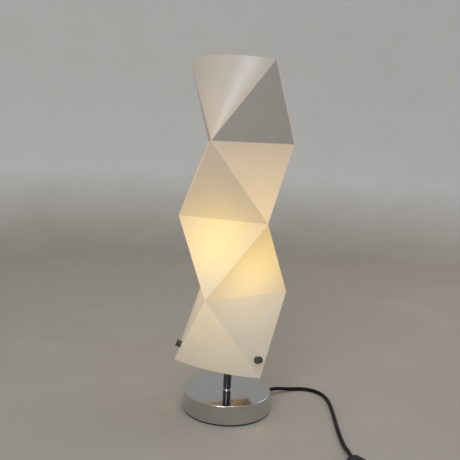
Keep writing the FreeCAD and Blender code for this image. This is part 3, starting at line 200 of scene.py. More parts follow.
def coil_turns():
    """Spiral about the coil's middle, clockwise from +X. The end radii of the half
    turns fall by half a step each, then rise again, and the radius between two ends
    is their mean plus half their difference times the cosine of the way travelled.
    The height rises by one step, smoothly, over the half turn in the middle."""
    inward = COIL_RADIUS - COIL_STEP / 2 * np.arange(HALF_TURNS + 1)
    lowest = inward[-1] - COIL_STEP / 2
    outward = lowest + CLIMB_EXTRA + COIL_STEP / 2 * np.arange(1, HALF_TURNS + 1)
    ends = np.concatenate([inward, [lowest], outward])
    travelled = np.arange(0, 2 * HALF_TURNS + 0.501, 2 / PER_TURN)
    index = np.floor(travelled).astype(int)
    radius = (ends[index] + ends[index + 1]) / 2
    radius += (ends[index] - ends[index + 1]) / 2 * np.cos(math.pi * (travelled - index))
    radius /= math.cos(math.pi / PER_TURN)
    height = COIL_STEP * smooth_step(travelled, HALF_TURNS, HALF_TURNS + 1)
    turn = -math.pi * travelled
    middle = COIL_START + [-COIL_RADIUS, -CORD, 0]
    return middle + np.stack([radius * np.cos(turn), radius * np.sin(turn), height], axis=1)


leave_switch = COIL_START + [0, 3 * RUN_OUT, 0]
leave_switch[2] = SWITCH_ENTRY
turns = coil_turns()
to_plug = turns[-1] - [CORD, 0, 0] - RUN_OUT * np.outer(np.arange(4), [1, 0, 0])
to_plug[2:, 2] = PLUG_LEVEL
past_switch = np.concatenate([
    [leave_switch, leave_switch - [0, RUN_OUT, 0], COIL_START + [0, RUN_OUT, 0], COIL_START],
    turns, to_plug])
put_away = cable("put_away_cord", past_switch, "cord_to_coil", "cord_coil", "cord_to_plug")
put_away_length = length_along(put_away)
plug_low, plug_high = (np.array(corner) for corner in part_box("plug_relief"))
plug_entry = np.array([plug_high[0], *(plug_low + plug_high)[1:] / 2])
print("cord past the switch", round(put_away_length, 4), "m")
print("its end is", round(float(np.linalg.norm(plug_entry - to_plug[-1])), 6), "m from the plug's tail")

# %% [markdown]
# Shared ways of making a piece. Every new piece is a skin: a grid of points that is
# worked out as whole arrays, and its faces. The object stays at the origin, and its
# place is in its mesh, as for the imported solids.

# %% Mesh helpers
def grid_faces(rows, columns, close_rows=False):
    """Quads between neighbours of a rows by columns grid, row after row. The last
    column meets the first, and the last row does so too where the rows close."""
    i, j = (a.ravel() for a in np.indices((rows if close_rows else rows - 1, columns)))
    up, over = (i + 1) % rows, (j + 1) % columns
    return np.stack([i * columns + j, i * columns + over, up * columns + over, up * columns + j], axis=1)


def skin_object(name, skin, smooth=True):
    """Object at the origin from a skin, which is arrays of points and of faces."""
    points, faces = skin
    mesh = bpy.data.meshes.new(name)
    mesh.from_pydata(points.tolist(), [], faces.tolist())
    mesh.polygons.foreach_set("use_smooth", np.full(len(mesh.polygons), smooth))
    return add_object(name, mesh)


def heights(node):
    """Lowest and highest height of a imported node."""
    return tuple(corner[2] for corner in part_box(node))


def even_shading(piece):
    """Large faces keep their own direction where they meet a narrow rounded edge."""
    piece.modifiers.new("even shading", "WEIGHTED_NORMAL").keep_sharp = True


def new_piece(name, node, slot, skin, body="lamp", even=True, smooth=True):
    """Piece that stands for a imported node. Its doubles are merged, then Blender turns
    every face of the closed skin outwards."""
    piece = skin_object(name, skin, smooth)
    work = bmesh.new()
    work.from_mesh(piece.data)
    bmesh.ops.remove_doubles(work, verts=work.verts, dist=1e-7)
    bmesh.ops.recalc_face_normals(work, faces=work.faces)
    work.to_mesh(piece.data)
    work.free()
    piece.data.update()
    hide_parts(node)
    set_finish(piece, slot)
    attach(piece, body)
    if even:
        even_shading(piece)
    return piece


# %% [markdown]
# Most hardware of the lamp is turned: drum, pad, collar, sleeve, nuts, holder and
# bulb are profiles spun about an axis. Real turned and pressed parts have no sharp
# corners, and a thin highlight on each rounded edge is what makes them look solid.
# So each corner of a profile has a reach, over which a small arc takes its place.

# %% Turned pieces
def soft_corners(profile, steps=5):
    """Each corner of (radius, height, reach) becomes a parabola that leaves the one side
    and meets the other at its reach from the corner; with no reach it stays as it is."""
    corners, reach = np.split(np.asarray(profile, float), [2], axis=1)

    def towards(other):
        way = other - corners
        return corners + way / np.linalg.norm(way, axis=1, keepdims=True) * reach

    one, two = towards(np.roll(corners, 1, axis=0)), towards(np.roll(corners, -1, axis=0))
    t = np.linspace(0, 1, steps)[None, :, None]
    curve = (1 - t) ** 2 * one[:, None] + 2 * t * (1 - t) * corners[:, None] + t * t * two[:, None]
    return curve.reshape(-1, 2)


def full_turn(steps):
    """Angles of one turn from +X, without the one that closes it."""
    return np.linspace(0, 2 * math.pi, steps, endpoint=False)


def around(radius, height, angle):
    """Grid of points (radius cos a, radius sin a, height) with an angle a per column."""
    return np.stack(np.broadcast_arrays(radius * np.cos(angle), radius * np.sin(angle), height), axis=2)


def spun(profile, steps=96):
    """A closed profile of (radius, height) carried round the Z axis. A point on the
    axis is repeated round it, and new_piece merges it to one."""
    points = around(profile[:, :1], profile[:, 1:], full_turn(steps))
    return points.reshape(-1, 3), grid_faces(len(profile), steps, close_rows=True)


def set_at(skin, *places):
    """One copy of the skin for each place, carried there from the Z axis."""
    points, faces = skin
    every = np.concatenate([points @ place[:3, :3].T + place[:3, 3] for place in places])
    shift = np.arange(len(places))[:, None, None] * len(points)
    return every, (faces + shift).reshape(-1, 4)


def turned(name, node, slot, profile, steps=96, body="lamp", places=(np.eye(4),)):
    """Turned piece with soft corners, once or at several places."""
    return new_piece(name, node, slot, set_at(spun(soft_corners(profile), steps), *places), body)


def square_section(inner, outer, low, high, reaches):
    """Profile of a ring or disc: four corners from the inner low one outwards and up, and
    the reach of each."""
    return np.column_stack([[(inner, low), (outer, low), (outer, high), (inner, high)], reaches])


# %% [markdown]
# The base is a chrome-plated steel drum with a softly rolled upper edge, standing on
# a dark pad. A cylinder with a bevel would do for the pad, but the drum's mirror shows
# every kink, so both are spun from profiles whose corners are long smooth arcs.

# %% Drum and pad
DRUM_TOP, DRUM_WALL, PAD, PAD_TOP, BORE = 0.0288, 0.0012, 0.0615, 0.0023, 0.0051
turned("drum", "base_cover", "chrome", [
    (DRUM, PAD_TOP, 0.0004), (DRUM, DRUM_TOP, 0.0020), (BORE, DRUM_TOP, 0.0001),
    (BORE, DRUM_TOP - DRUM_WALL, 0.0001), (DRUM - DRUM_WALL, DRUM_TOP - DRUM_WALL, 0.0010),
    (DRUM - DRUM_WALL, PAD_TOP, 0.0004)], steps=160)
turned("foot_pad", "base_pad", "dark_pad", square_section(0, PAD, 0, PAD_TOP, [0, 0.0008, 0.0002, 0]),
       steps=128)

# %% [markdown]
# A small collar covers the hole in the drum, and a black sleeve rises from it to the
# hub of the shade carrier. Both hide the threaded tube that holds the lamp together.
# Two cylinders would leave hard rims, so both are turned with soft edges.

# %% Collar and sleeve
COLLAR, COLLAR_TOP, SLEEVE = 0.0070, 0.0304, 0.0060
HUB_BOTTOM = heights("carrier_hub")[0]
turned("collar", "stem_collar", "chrome",
       square_section(BORE, COLLAR, DRUM_TOP, COLLAR_TOP, [0.0001, 0.0001, 0.0007, 0.0001]), steps=64)
turned("sleeve", "stem_sleeve", "dark_sleeve",
       square_section(BORE, SLEEVE, COLLAR_TOP, HUB_BOTTOM, [0.0001, 0.0004, 0.0004, 0.0001]), steps=64)
print("sleeve", round(HUB_BOTTOM - COLLAR_TOP, 4), "m long")

# %% [markdown]
# The shade is one sheet, scored and folded into large triangles. Its corners lie on
# five rings of three, each ring turned by sixty degrees from the next. The upper rim is
# pulled in a little at the left and the back. Triangles between two inner rings are
# flat. The end panels have a free edge, and the sheet there rolls into part of a cone
# whose point is the corner of the next ring. Bending a flat grid could imitate this,
# but the cone follows from the flat triangle alone.

# %% Corners of the folded sheet
WAIST, FOLD, LOWEST, SHEET = 0.0779, 0.1295, 0.0712, 0.0008
RIM_RADII = {0: (0.0690, 0.0777, 0.0760), 4: (0.0773, 0.0773, 0.0773)}


def fold_rise(radius):
    """Rise of a fold of fixed length from an inner ring's corner to a corner sixty
    degrees on at the given radius: the root of fold squared minus span squared."""
    return math.sqrt(FOLD ** 2 - WAIST ** 2 - radius ** 2 + WAIST * radius)


def sheet_corner(ring, place):
    """Corner on its ring, counted from the left; odd rings are turned by sixty degrees.
    A rim's corner hinges on the fold opposite it, so its height follows its radius."""
    place %= 3
    angle = math.radians((-90 if ring % 2 == 0 else -30) + 120 * place)
    radius = RIM_RADII[ring][place] if ring in RIM_RADII else WAIST
    height = LOWEST
    if ring < 4:
        height += fold_rise(RIM_RADII[4][place]) + (3 - max(ring, 1)) * fold_rise(WAIST)
    if ring == 0:
        height += fold_rise(radius)
    return np.array([radius * math.sin(angle), -radius * math.cos(angle), height])


print("corner heights", [round(float(sheet_corner(ring, 0)[2]), 4) for ring in range(5)])

# %% [markdown]
# A rolled panel is a flat isosceles triangle that wraps on a cone. Bent by eye it
# would stretch, and a real sheet doesn't. The cone's two conditions, its flat angle
# and its opening in space, fix how far it turns, and halving an interval finds that
# turn.

# %% Rolled end panels
STRIPS = 56


def unit(vector):
    """The same direction with a length of one."""
    return vector / np.linalg.norm(vector)


def rolled_rim(apex, first, last):
    """Free edge of a rolled panel. A ruling at angle a on a cone of slope s has its
    edge at depth / cos(a sin s), which is the straight edge of the flat triangle."""
    width = WAIST * math.sqrt(3)
    flat_half = math.asin(width / 2 / FOLD)
    depth = math.sqrt(FOLD ** 2 - width ** 2 / 4)
    one, two = unit(first - apex), unit(last - apex)
    middle, side = unit(one + two), unit(two - one)
    open_half = math.asin(np.linalg.norm(two - one) / 2)
    low, high = 1e-3, math.pi
    for _ in range(60):
        turn = (low + high) / 2
        if math.sin(turn) / turn > math.sin(open_half) / flat_half:
            low = turn
        else:
            high = turn
    slope = math.asin(flat_half / turn)
    lean = math.acos(math.cos(slope) / math.cos(open_half))
    out = np.cross(middle, side)
    out *= np.sign(out[:2] @ (first + last)[:2])
    axis = middle * math.cos(lean) - out * math.sin(lean)
    across = unit(np.cross(side, axis))
    across *= np.sign(across @ out)
    angle = np.linspace(-turn, turn, STRIPS + 1)[:, None]
    way = axis * math.cos(slope) + (across * np.cos(angle) + side * np.sin(angle)) * math.sin(slope)
    return apex + way * (depth / np.cos(angle * math.sin(slope)))


def sheet_triangles():
    """All facets as triples of points: flat triangles, and fans for rolled panels."""
    found = []
    for band in range(4):
        even, odd = (band, band + 1) if band % 2 == 0 else (band + 1, band)
        for place in range(3):
            left, right = sheet_corner(even, place), sheet_corner(even, place + 1)
            middle, beyond = sheet_corner(odd, place), sheet_corner(odd, place + 1)
            found.append(np.array([[middle, right, beyond]]))
            if even == 2:
                found.append(np.array([[left, middle, right]]))
            else:
                rim = rolled_rim(middle, left, right)
                apex = np.broadcast_to(middle, (STRIPS, 3))
                found.append(np.stack([apex, rim[:-1], rim[1:]], axis=1))
    return np.concatenate(found)


triangles = sheet_triangles()
sides = triangles[:, 1:] - triangles[:, :1]
area = np.linalg.norm(np.cross(sides[:, 0], sides[:, 1]), axis=1).sum() / 2
print(len(triangles), "facets, flat area of the sheet", round(area, 4), "square metres")

# %% [markdown]
# The facets become one welded skin. An inner skin could be drawn as well, but Solidify
# gives the same even thickness inwards, after each fold has been rounded a little: a
# scored fold is about half a millimetre wide, and its edge catches light.

# %% Folded shade
points = triangles.reshape(-1, 3)
shade = new_piece("folded_shade", "shade_sheet", "shade_sheet",
                  (points, np.arange(len(points)).reshape(-1, 3)), even=False, smooth=False)


def mark_folds(piece, least=math.radians(9)):
    """Folds are the edges where two facets meet at more than the least angle. They get
    a bevel weight of one, all other edges none."""
    work = bmesh.new()
    work.from_mesh(piece.data)
    layer = work.edges.layers.float.new("bevel_weight_edge")
    marked = [edge for edge in work.edges if len(edge.link_faces) == 2 and edge.calc_face_angle() > least]
    for edge in marked:
        edge[layer] = 1.0
    work.to_mesh(piece.data)
    work.free()
    return len(marked)


print("folds marked", mark_folds(shade))
fold_edge = shade.modifiers.new("scored folds", "BEVEL")
fold_edge.limit_method = "WEIGHT"
fold_edge.width = 0.0005
fold_edge.segments = 2
wall = shade.modifiers.new("sheet", "SOLIDIFY")
wall.thickness = SHEET
wall.offset = -1.0

# %% [markdown]
# Round chrome nuts outside the sheet clamp it to three rods, with a washer on each
# side; their nearly black colour is a painted dark reflection. Cylinders could be
# turned into place by hand, but all three fixings are alike and square to their
# facets, so each profile is spun once and set at three places.

# %% Nuts and washers of the shade
FIXING_RISE, FIXING_BORE, WASHER, WASHER_THICK = 0.024, 0.0026, 0.0052, 0.0010
NUT, NUT_END, NUT_TOP = 0.0047, 0.0012, WASHER_THICK + 0.0060


def fixing_places():
    """Where the three screws pass the lower facets: at their rise from each lower
    corner, square to the facet. Columns are side, up along the facet, out, and place."""
    found = []
    for place in range(3):
        low = sheet_corner(4, place)
        up = unit((sheet_corner(3, place + 2) + sheet_corner(3, place)) / 2 - low)
        side = np.cross([0, 0, 1], unit(low * [1, 1, 0]))
        found.append(placed(side, up, np.cross(side, up), low + up * FIXING_RISE))
    return found


FIXINGS = fixing_places()
# Nuts and washers take the dark_chrome slot: chrome whose nearly black colour is a painted dark reflection.
turned("cap_nuts_round", "cap_nuts", "dark_chrome", [
    (FIXING_BORE, WASHER_THICK, 0.0001), (NUT, WASHER_THICK, 0.0003), (NUT, NUT_TOP, 0.0008),
    (0, NUT_TOP, 0), (0, NUT_TOP - NUT_END, 0), (FIXING_BORE, NUT_TOP - NUT_END, 0.0001)],
    steps=48, places=FIXINGS)
turned("outer_washers_round", "outer_washers", "dark_chrome",
       square_section(FIXING_BORE, WASHER, 0, WASHER_THICK, [0.0001, 0.0002, 0.0003, 0.0001]),
       steps=48, places=FIXINGS)
print("fixings at", [matrix[:3, 3].round(4).tolist() for matrix in FIXINGS])

# %% [markdown]
# Inside the shade the light source is a round bulb with a rolled screw cap. The glass
# is one closed wall: an outer profile down the globe and a second one back up inside.
# The rolled thread could be a picture of lines, but a radius that rises and falls with
# height and turn gives a real helix that light can catch.

# %% Bulb
GLOBE, NECK, FLARE, FLARE_RISE, GLASS_WALL, GLASS_DEPTH = 0.0300, 0.0115, 0.0148, 0.0038, 0.0009, 0.0044
THREAD_PITCH, CREST, ROOT, CAP_INSIDE, FOOT, CONTACT = 0.0036, 0.0130, 0.0121, 0.0117, 0.0045, 0.0027
BULB_CENTRE = np.array([0.0, 0.0, heights("bulb_glass")[1] - GLOBE])
CAP_LOW, CAP_HIGH = heights("bulb_screw_cap")
FOOT_LOW, FOOT_HIGH = heights("bulb_insulator")
TIP_LOW = heights("bulb_tip")[0]


def globe_profile(inset):
    """Neck, flare and globe, all drawn in by the inset: a straight line leaves the flare
    and meets the circle where it touches it, at the angle whose cosine is radius over
    distance."""
    radius, neck, flare, level = GLOBE - inset, NECK - inset, FLARE - inset, CAP_HIGH + FLARE_RISE + inset
    away = np.array([flare, level]) - [0, BULB_CENTRE[2]]
    touch = math.atan2(away[1], away[0]) + math.acos(radius / np.hypot(*away))
    angle = np.linspace(touch, math.pi / 2, 40)
    arc = np.column_stack([radius * np.cos(angle), BULB_CENTRE[2] + radius * np.sin(angle)])
    arc[-1, 0] = 0
    return np.concatenate([[(neck, CAP_HIGH - GLASS_DEPTH), (neck, CAP_HIGH), (flare, level)], arc])


def with_bore(outer, share):
    """Closed skin of a grid round the Z axis: both end rings come once more, with
    their radii times the share, and the bore runs between these two."""
    rims = outer[[-1, 0]]
    rims[..., :2] *= share
    faces = grid_faces(len(outer) + 2, outer.shape[1], close_rows=True)
    return np.concatenate([outer, rims]).reshape(-1, 3), faces


def screw_cap(rows=150, steps=72):
    """Radius is the root plus the thread's depth times a raised cosine of height over
    pitch minus turn, faded out over half a pitch at both ends."""
    height, angle = np.linspace(CAP_LOW, CAP_HIGH, rows)[:, None], full_turn(steps)
    wave = 0.5 + 0.5 * np.cos(2 * math.pi * (height - CAP_LOW) / THREAD_PITCH - angle)
    ends = np.minimum(height - CAP_LOW, CAP_HIGH - height) / (THREAD_PITCH / 2)
    radius = ROOT + (CREST - ROOT) * wave ** 0.8 * np.clip(ends, 0, 1)
    return with_bore(around(radius, height, angle), CAP_INSIDE / ROOT)


new_piece("bulb_globe", "bulb_glass", "bulb_glass",
          spun(np.concatenate([globe_profile(0), globe_profile(GLASS_WALL)[::-1]])), "bulb", even=False)
new_piece("bulb_cap", "bulb_screw_cap", "bulb_metal", screw_cap(), "bulb", even=False)
turned("bulb_foot", "bulb_insulator", "bulb_dark", [
    (0, FOOT_LOW, 0), (FOOT, FOOT_LOW, 0.0004), (ROOT, FOOT_HIGH, 0.0003), (0, FOOT_HIGH, 0)], 64, "bulb")
turned("bulb_contact", "bulb_tip", "bulb_metal", [
    (0, TIP_LOW, 0), (CONTACT, TIP_LOW, 0.0008), (FOOT, FOOT_LOW, 0.0003), (0, FOOT_LOW, 0)], 48, "bulb")
print("bulb centre", BULB_CENTRE.round(4), "cap", round(CAP_LOW, 4), "to", round(CAP_HIGH, 4))

# %% [markdown]
# The lampholder is a moulded white body in two halves. Its skirt carries upright
# flutes for the fingers. Forty cutters could take them out, but they would leave thin
# slivers. So the radius of the turned wall dips with a cosine of the angle, only
# between the skirt's two plain bands.

# %% Lampholder
HOLDER_LOW = heights("holder_cap")[0]
SEAM, HOLDER_TOP = heights("holder_skirt")
HOLDER, INSIDE, MOUTH, SHANK = 0.020, 0.017, 0.014, 0.0090
SHANK_TOP, SHOULDER_TOP, FLOOR_TOP, LEDGE, LIP = 0.005, 0.010, 0.008, 0.002, 0.003
turned("holder_lower", "holder_cap", "white_holder", [
    (BORE, HOLDER_LOW, 0.0002), (SHANK, HOLDER_LOW, 0.0008), (SHANK, HOLDER_LOW + SHANK_TOP, 0.0012),
    (HOLDER, HOLDER_LOW + SHOULDER_TOP, 0.0020), (HOLDER, SEAM, 0.0005), (INSIDE, SEAM, 0.0002),
    (INSIDE, SEAM - LEDGE, 0.0002), (MOUTH, SEAM - LEDGE, 0.0002),
    (MOUTH, HOLDER_LOW + FLOOR_TOP, 0.0004), (BORE, HOLDER_LOW + FLOOR_TOP, 0.0002)])


def fluted_skirt(flutes=40, depth=0.0007, band=0.006, fade=0.002, steps=240):
    """The skirt's turned profile, whose outer wall dips by the depth times the square of
    a raised cosine of flutes times angle. The dip fades out at a plain band's height
    from both ends."""
    profile = soft_corners([
        (HOLDER, SEAM, 0.0005), (HOLDER, HOLDER_TOP, 0.0018), (MOUTH, HOLDER_TOP, 0.0006),
        (MOUTH, HOLDER_TOP - LIP, 0.0003), (INSIDE, HOLDER_TOP - LIP, 0.0006), (INSIDE, SEAM, 0.0003)])
    wall = np.column_stack([np.full(30, HOLDER), np.linspace(SEAM + 0.001, HOLDER_TOP - 0.002, 30)])
    points, faces = spun(np.concatenate([profile[:5], wall, profile[5:]]), steps)
    radius, height = np.hypot(points[:, 0], points[:, 1]), points[:, 2]
    angle = np.arctan2(points[:, 1], points[:, 0])
    fluted = np.clip((np.minimum(height - SEAM, HOLDER_TOP - height) - band) / fade, 0, 1)
    dip = depth * (0.5 - 0.5 * np.cos(flutes * angle)) ** 2 * fluted * (radius > HOLDER - 1e-5)
    points[:, :2] *= ((radius - dip) / radius)[:, None]
    return points, faces


new_piece("holder_skirt_fluted", "holder_skirt", "white_holder", fluted_skirt())
print("holder", round(HOLDER_LOW, 4), "to", round(HOLDER_TOP, 4))

# %% [markdown]
# A threaded tube runs from the drum to the lampholder, and three threaded rods reach
# from the hub to the sheet. A Screw modifier could sweep a tooth round them, but its
# two ends would stay open. So the radius is a triangle wave of height over pitch minus
# turn: a helix that looks like a cut thread in section.

# %% Threaded tube and rods
TUBE, TUBE_BORE, TUBE_PITCH, TUBE_THREAD = 0.005, 0.00375, 0.001, 0.0005
ROD, ROD_PITCH, ROD_THREAD, ROD_START, ROD_END = 0.0025, 0.0008, 0.00035, 0.0076, 0.0048


def threaded(radius, pitch, depth, low, high, bore=0, steps=28, per_pitch=5):
    """Tube or rod along Z. Its radius falls by the depth times a triangle wave of
    height over pitch minus turn. A bore of zero closes the ends on the axis."""
    rows = int((high - low) / pitch * per_pitch)
    height, angle = np.linspace(low, high, rows)[:, None], full_turn(steps)
    phase = (height / pitch - angle / (2 * math.pi)) % 1.0
    fade = np.clip(np.minimum(height - low, high - height) / pitch + 0.3, 0, 1)
    return with_bore(around(radius - depth * np.abs(2 * phase - 1) * fade, height, angle), bore / radius)


new_piece("threaded_pipe", "threaded_tube", "zinc_steel",
          threaded(TUBE, TUBE_PITCH, TUBE_THREAD, *heights("threaded_tube"), TUBE_BORE, 40, 6), even=False)
rod_length = (np.hypot(*FIXINGS[0][:2, 3]) - ROD_START) / np.hypot(*FIXINGS[0][:2, 2])
for side, matrix in zip(("left", "right", "back"), FIXINGS):
    new_piece("rod_" + side, "arm_" + side, "zinc_steel",
              set_at(threaded(ROD, ROD_PITCH, ROD_THREAD, -rod_length, ROD_END), matrix), even=False)
print("rods", round(rod_length + ROD_END, 4), "m long")

# %% [markdown]
# The strain reliefs of the drum and the plug taper towards the cord, and are cut by
# rings so that they bend evenly. The rings could be cut from a cone one by one, but as
# dips in the turned profile they all come out alike.

# %% Strain reliefs
RELIEF, RELIEF_NARROW, RELIEF_END, GROOVE = 0.00475, 0.0035, 0.0033, 0.0008
FLANGE, FLANGE_THICK, GRIPPED, PLUG_RELIEF, PLUG_RELIEF_WIDE = 0.0054, 0.0020, 0.0039, 0.022, 0.0045


def ringed_taper(start, end, wide, rings):
    """Outer line of a tapered tail: along the way the radius falls linearly, and on the
    last three tenths of each ring it dips by the groove times the square of a sine."""
    share = np.linspace(0, 1, rings * 8 + 1)
    phase = (share * rings) % 1.0
    dip = np.where((phase > 0.7) & (share < 0.999), np.sin((phase - 0.7) / 0.3 * math.pi) ** 2, 0.0)
    radius = wide + (RELIEF_NARROW - wide) * share - GROOVE * dip
    return np.column_stack([radius, start + (end - start) * share])


def frame_along(origin, way):
    """Place whose Z axis points along the way and whose X axis is level."""
    way = unit(np.asarray(way, float))
    side = unit(np.cross([0, 0, 1], way))
    return placed(side, np.cross(way, side), way, origin)


def ringed_relief(name, node, lines, origin, way):
    """Relief spun from its lines of (radius, height) and laid along the way."""
    skin = spun(np.concatenate(lines), 48)
    return new_piece(name, node, "cord_black", set_at(skin, frame_along(origin, way)))


neck = soft_corners([
    (0, DRUM - 0.0055, 0), (FLANGE, DRUM - 0.0055, 0.0004), (FLANGE, DRUM - 0.0015, 0.0002),
    (GRIPPED, DRUM - 0.0015, 0.0001), (GRIPPED, DRUM, 0.0001), (FLANGE, DRUM, 0.0003),
    (FLANGE, DRUM + FLANGE_THICK, 0.0006), (RELIEF, DRUM + FLANGE_THICK, 0.0001)], 4)
relief_end = DRUM + RELIEF_LENGTH
ringed_relief("drum_relief", "cord_relief", [
    neck, ringed_taper(DRUM + FLANGE_THICK + 0.0001, relief_end - 0.0004, RELIEF, 6),
    [(RELIEF_END, relief_end), (0, relief_end)]], (0, 0, EXIT_LEVEL), EXIT_WAY)
plug_tail = ringed_relief("plug_relief_ringed", "plug_relief", [
    [(0, 0), (RELIEF_END, 0)], ringed_taper(PLUG_RELIEF - 0.0015, 0.0004, PLUG_RELIEF_WIDE, 8)[::-1],
    [(PLUG_RELIEF_WIDE, PLUG_RELIEF), (0, PLUG_RELIEF)]], plug_entry, (-1, 0, 0))
print("reliefs", RELIEF_LENGTH, "and", PLUG_RELIEF, "m long")

# %% [markdown]
# The plug is moulded over its two pins. Each section across it is a rounded
# rectangle, and the sections swell along the plug as a smooth step, so that the hand
# finds a waist at the cord's end. A box under a Subdivision Surface would be softer
# than a moulding. Each pin has a bare end and a dark sleeve.

# %% Plug
PLUG_REAR, PLUG_LENGTH = plug_entry[0] - PLUG_RELIEF, 0.036
WIDE_REAR, WIDE_FACE, HIGH_REAR, HIGH_FACE = 0.0070, 0.0175, 0.0055, 0.00685
EDGE, GRIP, GRIPS = 0.0011, 0.0006, (0.30, 0.42, 0.54)
PIN, PIN_SLEEVE, SLEEVE_LENGTH, PIN_LENGTH, PIN_SPREAD = 0.002, 0.0019, 0.0098, 0.019, 0.0093


def with_poles(points, first, last):
    """Closed skin of a grid of points: a row in one place is put before and after it."""
    ends = [np.broadcast_to(end, (1,) + points.shape[1:]) for end in (first, last)]
    skin = np.concatenate([ends[0], points, ends[1]])
    return skin.reshape(-1, 3), grid_faces(*skin.shape[:2])


def plug_surface(rows=70, steps=72):
    """Superellipse sections of power four. The half width and half height swell with
    smooth steps, shrink over the last millimetre at both ends, and the width dips in
    grip grooves on the way."""
    share = np.linspace(0, 1, rows)[:, None]
    half_width = WIDE_REAR + (WIDE_FACE - WIDE_REAR) * smooth_step(share, 0.08, 0.80)
    half_height = HIGH_REAR + (HIGH_FACE - HIGH_REAR) * smooth_step(share, 0.0, 0.38)
    ends = np.minimum(share, 1 - share) * PLUG_LENGTH
    round_off = EDGE * (1 - np.sqrt(1 - np.clip(1 - ends / EDGE, 0, 1) ** 2))
    grip = GRIP * sum(np.exp(-((share - at) / 0.022) ** 2) for at in GRIPS)
    across, up = (np.sign(way) * np.abs(way) ** 0.5
                  for way in (np.cos(full_turn(steps)), np.sin(full_turn(steps))))
    points = np.stack(np.broadcast_arrays(PLUG_REAR - share * PLUG_LENGTH,
                                          plug_entry[1] + (half_width - round_off - grip) * across,
                                          plug_entry[2] + (half_height - round_off) * up), axis=2)
    return with_poles(points, points[0].mean(axis=0), points[-1].mean(axis=0))


plug = new_piece("plug_moulded", "plug_body", "cord_black", plug_surface())
along = np.linspace(0, math.pi / 2, 10)
nose = np.column_stack([PIN * np.cos(along), PIN_LENGTH - PIN + PIN * np.sin(along)])
nose[-1, 0] = 0
pin = np.concatenate([[(0, 0), (PIN_SLEEVE, 0), (PIN_SLEEVE, SLEEVE_LENGTH), (PIN, SLEEVE_LENGTH + 0.0004)],
                      nose])
face = plug_entry - [PLUG_RELIEF + PLUG_LENGTH, 0, 0]
pin_places = [frame_along(face + [0, side * PIN_SPREAD, 0], (-1, 0, 0)) for side in (-1, 1)]
pins = new_piece("plug_pins_turned", "plug_pins", "zinc_steel", set_at(spun(pin, 32), *pin_places))
print("plug from", round(PLUG_REAR, 4), "to", round(PLUG_REAR - PLUG_LENGTH - PIN_LENGTH, 4))

# %% [markdown]
# The in-line switch is a flat moulded body of two shells with narrowed ends, and a
# rocker in its top. A bevelled box would have one edge all round, but here the top is
# rounded more than the seam. So the outline, a polygon with soft corners, shrinks
# towards top and bottom along quarter circles of their own.

# %% Switch shells
SWITCH_HALF, SWITCH_WIDE, NOSE_WIDE, SHOULDER = 0.032, 0.0135, 0.0048, 0.019
SWITCH = leave_switch[:2] + [0, SWITCH_HALF]
SWITCH_LOW, SWITCH_SEAM, SWITCH_TOP = 0.00005, SWITCH_ENTRY, heights("switch_upper_shell")[1]


def switch_outline(inset):
    """Corners of the switch seen from above, drawn in by the inset, each softened."""
    half, wide, nose_wide = SWITCH_HALF - inset, SWITCH_WIDE - inset, NOSE_WIDE - inset
    right = [(nose_wide, -half, 0.0018), (wide, -SHOULDER, 0.004), (wide, SHOULDER, 0.004),
             (nose_wide, half, 0.0018)]
    return soft_corners(right + [(-x, y, reach) for x, y, reach in reversed(right)], 7)


def rounded_ends(low, high, low_edge, high_edge, rows):
    """Levels from low to high, and how far an outline is drawn in at each. With an angle
    t from zero to a quarter turn, a level lies edge (1 - cos t) from its end and is drawn
    in by edge (1 - sin t), which is a quarter circle."""
    t = np.linspace(0, math.pi / 2, rows)
    levels = np.concatenate([low + low_edge * (1 - np.cos(t)), high - high_edge * (1 - np.cos(t[::-1]))])
    return levels, np.concatenate([low_edge * (1 - np.sin(t)), high_edge * (1 - np.sin(t[::-1]))])


def shell_surface(low, high, low_edge, high_edge):
    """Stack of outlines between two levels, with both ends rounded."""
    levels, insets = rounded_ends(low, high, low_edge, high_edge, 9)
    rings = np.stack([switch_outline(inset) for inset in insets]) + SWITCH
    heights = np.broadcast_to(levels[:, None, None], rings.shape[:2] + (1,))
    return with_poles(np.concatenate([rings, heights], axis=2), (*SWITCH, low), (*SWITCH, high))


lower_shell = new_piece("switch_lower", "switch_lower_shell", "switch_black",
                        shell_surface(SWITCH_LOW, SWITCH_SEAM, 0.0016, 0.0003), even=False)
upper_shell = new_piece("switch_upper", "switch_upper_shell", "switch_black",
                        shell_surface(SWITCH_SEAM, SWITCH_TOP, 0.0003, 0.0022), even=False)
print("switch", round(SWITCH_LOW, 5), round(SWITCH_SEAM, 4), round(SWITCH_TOP, 4))

# %% [markdown]
# The upper shell has an opening for the rocker. A boolean cut would do it in one
# step, and it is the plain way here: the cutter is a box a little larger than the
# rocker, and only its four walls show.

# %% Opening for the rocker
SLOT_HALF, SLOT_FLOOR = np.array([0.0054, 0.01155]), 0.0022


def box_skin(low, high):
    """Closed box between two corners: the eight corners are all choices of low or high."""
    choice = np.indices((2, 2, 2)).reshape(3, -1).T
    faces = [(0, 1, 3, 2), (4, 6, 7, 5), (0, 4, 5, 1), (2, 3, 7, 6), (0, 2, 6, 4), (1, 5, 7, 3)]
    return np.where(choice == 1, high, low), np.array(faces)


def cut_away(piece, cutter):
    """Subtract the cutter from the piece's mesh for good, then remove the cutter."""
    knife = piece.modifiers.new("cut", "BOOLEAN")
    knife.object = cutter
    knife.solver = "EXACT"
    bpy.context.view_layer.update()
    whole, name = piece.data, piece.data.name
    graph = bpy.context.evaluated_depsgraph_get()
    piece.data = bpy.data.meshes.new_from_object(piece.evaluated_get(graph))
    piece.modifiers.remove(knife)
    bpy.data.meshes.remove(whole)
    piece.data.name = name
    bpy.data.objects.remove(cutter)


def moulded_edge(piece, least):
    """Narrow bevel where faces meet at more than the least angle, in degrees."""
    bevel = piece.modifiers.new("moulded edge", "BEVEL")
    bevel.limit_method = "ANGLE"
    bevel.angle_limit = math.radians(least)
    bevel.width = 0.0003
    bevel.segments = 2
    even_shading(piece)


